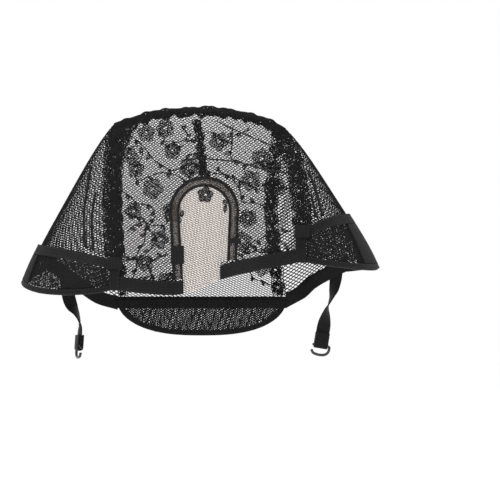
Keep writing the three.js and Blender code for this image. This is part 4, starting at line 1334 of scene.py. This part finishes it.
class WIGCAP_OT_straps(Operator):
    """Twisted straps, the folded ends that hold the hooks, and the wire hooks"""
    bl_idname = "wigcap.straps"
    bl_label = "Straps and hooks"

    def rounded(self, node, name, bevel, levels):
        """A copy of a CAD node with merged points, then bevelled or subdivided."""
        source = frame["nodes"][node]
        piece = source.copy()
        piece.data = source.data.copy()
        piece.name = piece.data.name = name
        piece.parent = None
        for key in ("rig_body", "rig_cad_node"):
            if key in piece:
                del piece[key]
        bpy.context.scene.collection.objects.link(piece)
        edit_all(piece, bpy.ops.mesh.remove_doubles, threshold=0.00002)
        if bevel:
            bevel_edges(piece, bevel)
        if levels:
            finish_modifier(piece, "SUBSURF", levels=levels, render_levels=levels)
        smooth(piece)
        return piece

    def turn_over(self, hook, loop):
        """Swaps a hook's closed and open ends, in its own plane, about the middle of the strap's loop."""
        points = np.array([v.co for v in loop.data.vertices])
        middle = points.mean(0)
        across = np.linalg.eigh(np.cov((points - middle).T))[1][:, 2]
        for vertex in hook.data.vertices:
            away = np.dot(np.array(vertex.co) - middle, across)
            vertex.co = vertex.co - Vector(2 * away * across)
        edit_all(hook, bpy.ops.mesh.flip_normals)

    def execute(self, context):
        for side in ("left", "right"):
            ribbon = self.rounded(f"strap_{side}", f"strap_{side}_woven", 0.2, 0)
            strap = dress(ribbon, "binding", [f"strap_{side}"])
            dress(self.rounded(f"strap_loop_{side}", f"strap_loop_{side}_woven", 0.2, 0), "binding",
                  [f"strap_loop_{side}"])
            hook = self.rounded(f"hook_{side}", f"hook_{side}_wire", 0, 2)
            edit_all(hook, bpy.ops.transform.shrink_fatten, value=HOOK_SWELL * MM)
            if side == "right":
                self.turn_over(hook, frame["nodes"]["strap_loop_right"])
            dress(hook, "metal", [f"hook_{side}"])
        return {"FINISHED"}


class WIGCAP_OT_stitching(Operator):
    """Rows of running stitches along the tapes, bands and hems"""
    bl_idname = "wigcap.stitching"
    bl_label = "Stitching"

    def execute(self, context):
        threads = Threads()

        def along(place, u):
            return lambda t: place(np.full(np.shape(t), u), t)

        def across(place, v):
            return lambda t: place(t, np.full(np.shape(t), v))

        for tab, end in ((TAB_LEFT, BAND_ENDS[0]), (TAB_RIGHT, BAND_ENDS[1])):
            for u in (0.12, 0.88):
                stitch_row(threads, along(band_place(tab, end), u))
                stitch_row(threads, along(back_tape_place(tab), u))
            top = tab_place(tab, lambda h: 0 * h, lambda h: TAB_TAPE / h)
            hem = tab_place(tab, lambda h: 1 - HEM / h, lambda h: 0 * h + 1)
            for v in (0.16, 0.84):
                stitch_row(threads, across(top, v))
                stitch_row(threads, across(hem, v), 1.9, 2.7)
            joint = patch_place(tab["joint"] - JOINT / 2, tab["joint"] + JOINT / 2,
                                tab["top"] - 9, tab["foot"])
            for u in (0.14, 0.86):
                stitch_row(threads, along(joint, u))
        for u in (0.14, 0.86):
            stitch_row(threads, along(nape_tape_place, u))
        stitch_row(threads, along(binding_place, 0.8), 1.8, 2.6)
        dress(threads.obj("stitching"), "stitch")
        return {"FINISHED"}


class WIGCAP_OT_stage(Operator):
    """Pale floor, white surroundings, soft lights and the camera"""
    bl_idname = "wigcap.stage"
    bl_label = "Stage"

    def execute(self, context):
        scene = bpy.context.scene
        bpy.ops.object.select_all(action="DESELECT")
        bpy.ops.mesh.primitive_plane_add(size=6, location=(0, 0, -0.3))
        floor = bpy.context.active_object
        floor.name = "floor"
        material = bpy.data.materials.new("pale floor")
        material.use_nodes = True
        shader = material.node_tree.nodes["Principled BSDF"]
        shader.inputs["Base Color"].default_value = (0.995, 0.995, 0.995, 1)
        shader.inputs["Roughness"].default_value = 1.0
        shader.inputs["Specular IOR Level"].default_value = 0.0
        floor.data.materials.append(material)
        world = bpy.data.worlds.new("studio")
        world.use_nodes = True
        world.node_tree.nodes["Background"].inputs["Color"].default_value = (1, 1, 1, 1)
        world.node_tree.nodes["Background"].inputs["Strength"].default_value = 1.0
        scene.world = world
        target = Vector((0.0355, 0.0, -0.102))
        lights = [("key", (-0.7, -1.1, 0.8), 0.7, 9), ("rim", (0.9, 0.7, 0.9), 0.6, 6)]
        for name, place, size, power in lights:
            bpy.ops.object.light_add(type="AREA", location=place)
            light = bpy.context.active_object
            light.name = light.data.name = name
            light.data.size = size
            light.data.energy = power
            light.rotation_euler = (target - Vector(place)).to_track_quat("-Z", "Y").to_euler()
        elevation, distance, sensor = math.radians(0.6), 3.2, 36
        picture_width = 500 * 0.7242 * MM  # 500 pixels of 0.7242 mm at the target
        place = target + distance * Vector((0, -math.cos(elevation), math.sin(elevation)))
        bpy.ops.object.camera_add(location=place)
        camera = bpy.context.active_object
        camera.rotation_euler = (target - place).to_track_quat("-Z", "Y").to_euler()
        camera.data.lens = sensor * distance / picture_width
        camera.data.sensor_width = sensor
        camera.data.clip_start, camera.data.clip_end = 0.05, 20
        scene.camera = camera
        scene.view_settings.view_transform = "Standard"
        scene.view_settings.look = "None"
        return {"FINISHED"}


class WIGCAP_PT_panel(Panel):
    bl_label = "Wig Cap"
    bl_idname = "WIGCAP_PT_panel"
    bl_space_type = "VIEW_3D"
    bl_region_type = "UI"
    bl_category = "Wig Cap"

    def draw(self, context):
        for operator in OPERATORS:
            self.layout.operator(operator.bl_idname)
        groups = (("Nets", context.scene.wigcap_nets), ("Colours", context.scene.wigcap_colours))
        for heading, settings in groups:
            box = self.layout.box()
            box.label(text=heading)
            for name in settings.__annotations__:
                box.prop(settings, name)


OPERATORS = (WIGCAP_OT_crown, WIGCAP_OT_part, WIGCAP_OT_lace, WIGCAP_OT_sides, WIGCAP_OT_tabs,
             WIGCAP_OT_hems, WIGCAP_OT_nape, WIGCAP_OT_straps, WIGCAP_OT_stitching, WIGCAP_OT_stage)
CLASSES = (WIGCAP_PG_nets, WIGCAP_PG_colours, *OPERATORS, WIGCAP_PT_panel)


def register():
    for cls in CLASSES:
        bpy.utils.register_class(cls)
    bpy.types.Scene.wigcap_nets = PointerProperty(type=WIGCAP_PG_nets)
    bpy.types.Scene.wigcap_colours = PointerProperty(type=WIGCAP_PG_colours)


def unregister():
    del bpy.types.Scene.wigcap_nets
    del bpy.types.Scene.wigcap_colours
    for cls in reversed(CLASSES):
        bpy.utils.unregister_class(cls)


def main():
    register()
    for step in (bpy.ops.wigcap.crown, bpy.ops.wigcap.part, bpy.ops.wigcap.lace, bpy.ops.wigcap.sides,
                 bpy.ops.wigcap.tabs, bpy.ops.wigcap.hems, bpy.ops.wigcap.nape, bpy.ops.wigcap.straps,
                 bpy.ops.wigcap.stitching, bpy.ops.wigcap.stage):
        step()


if __name__ == "__main__":
    main()
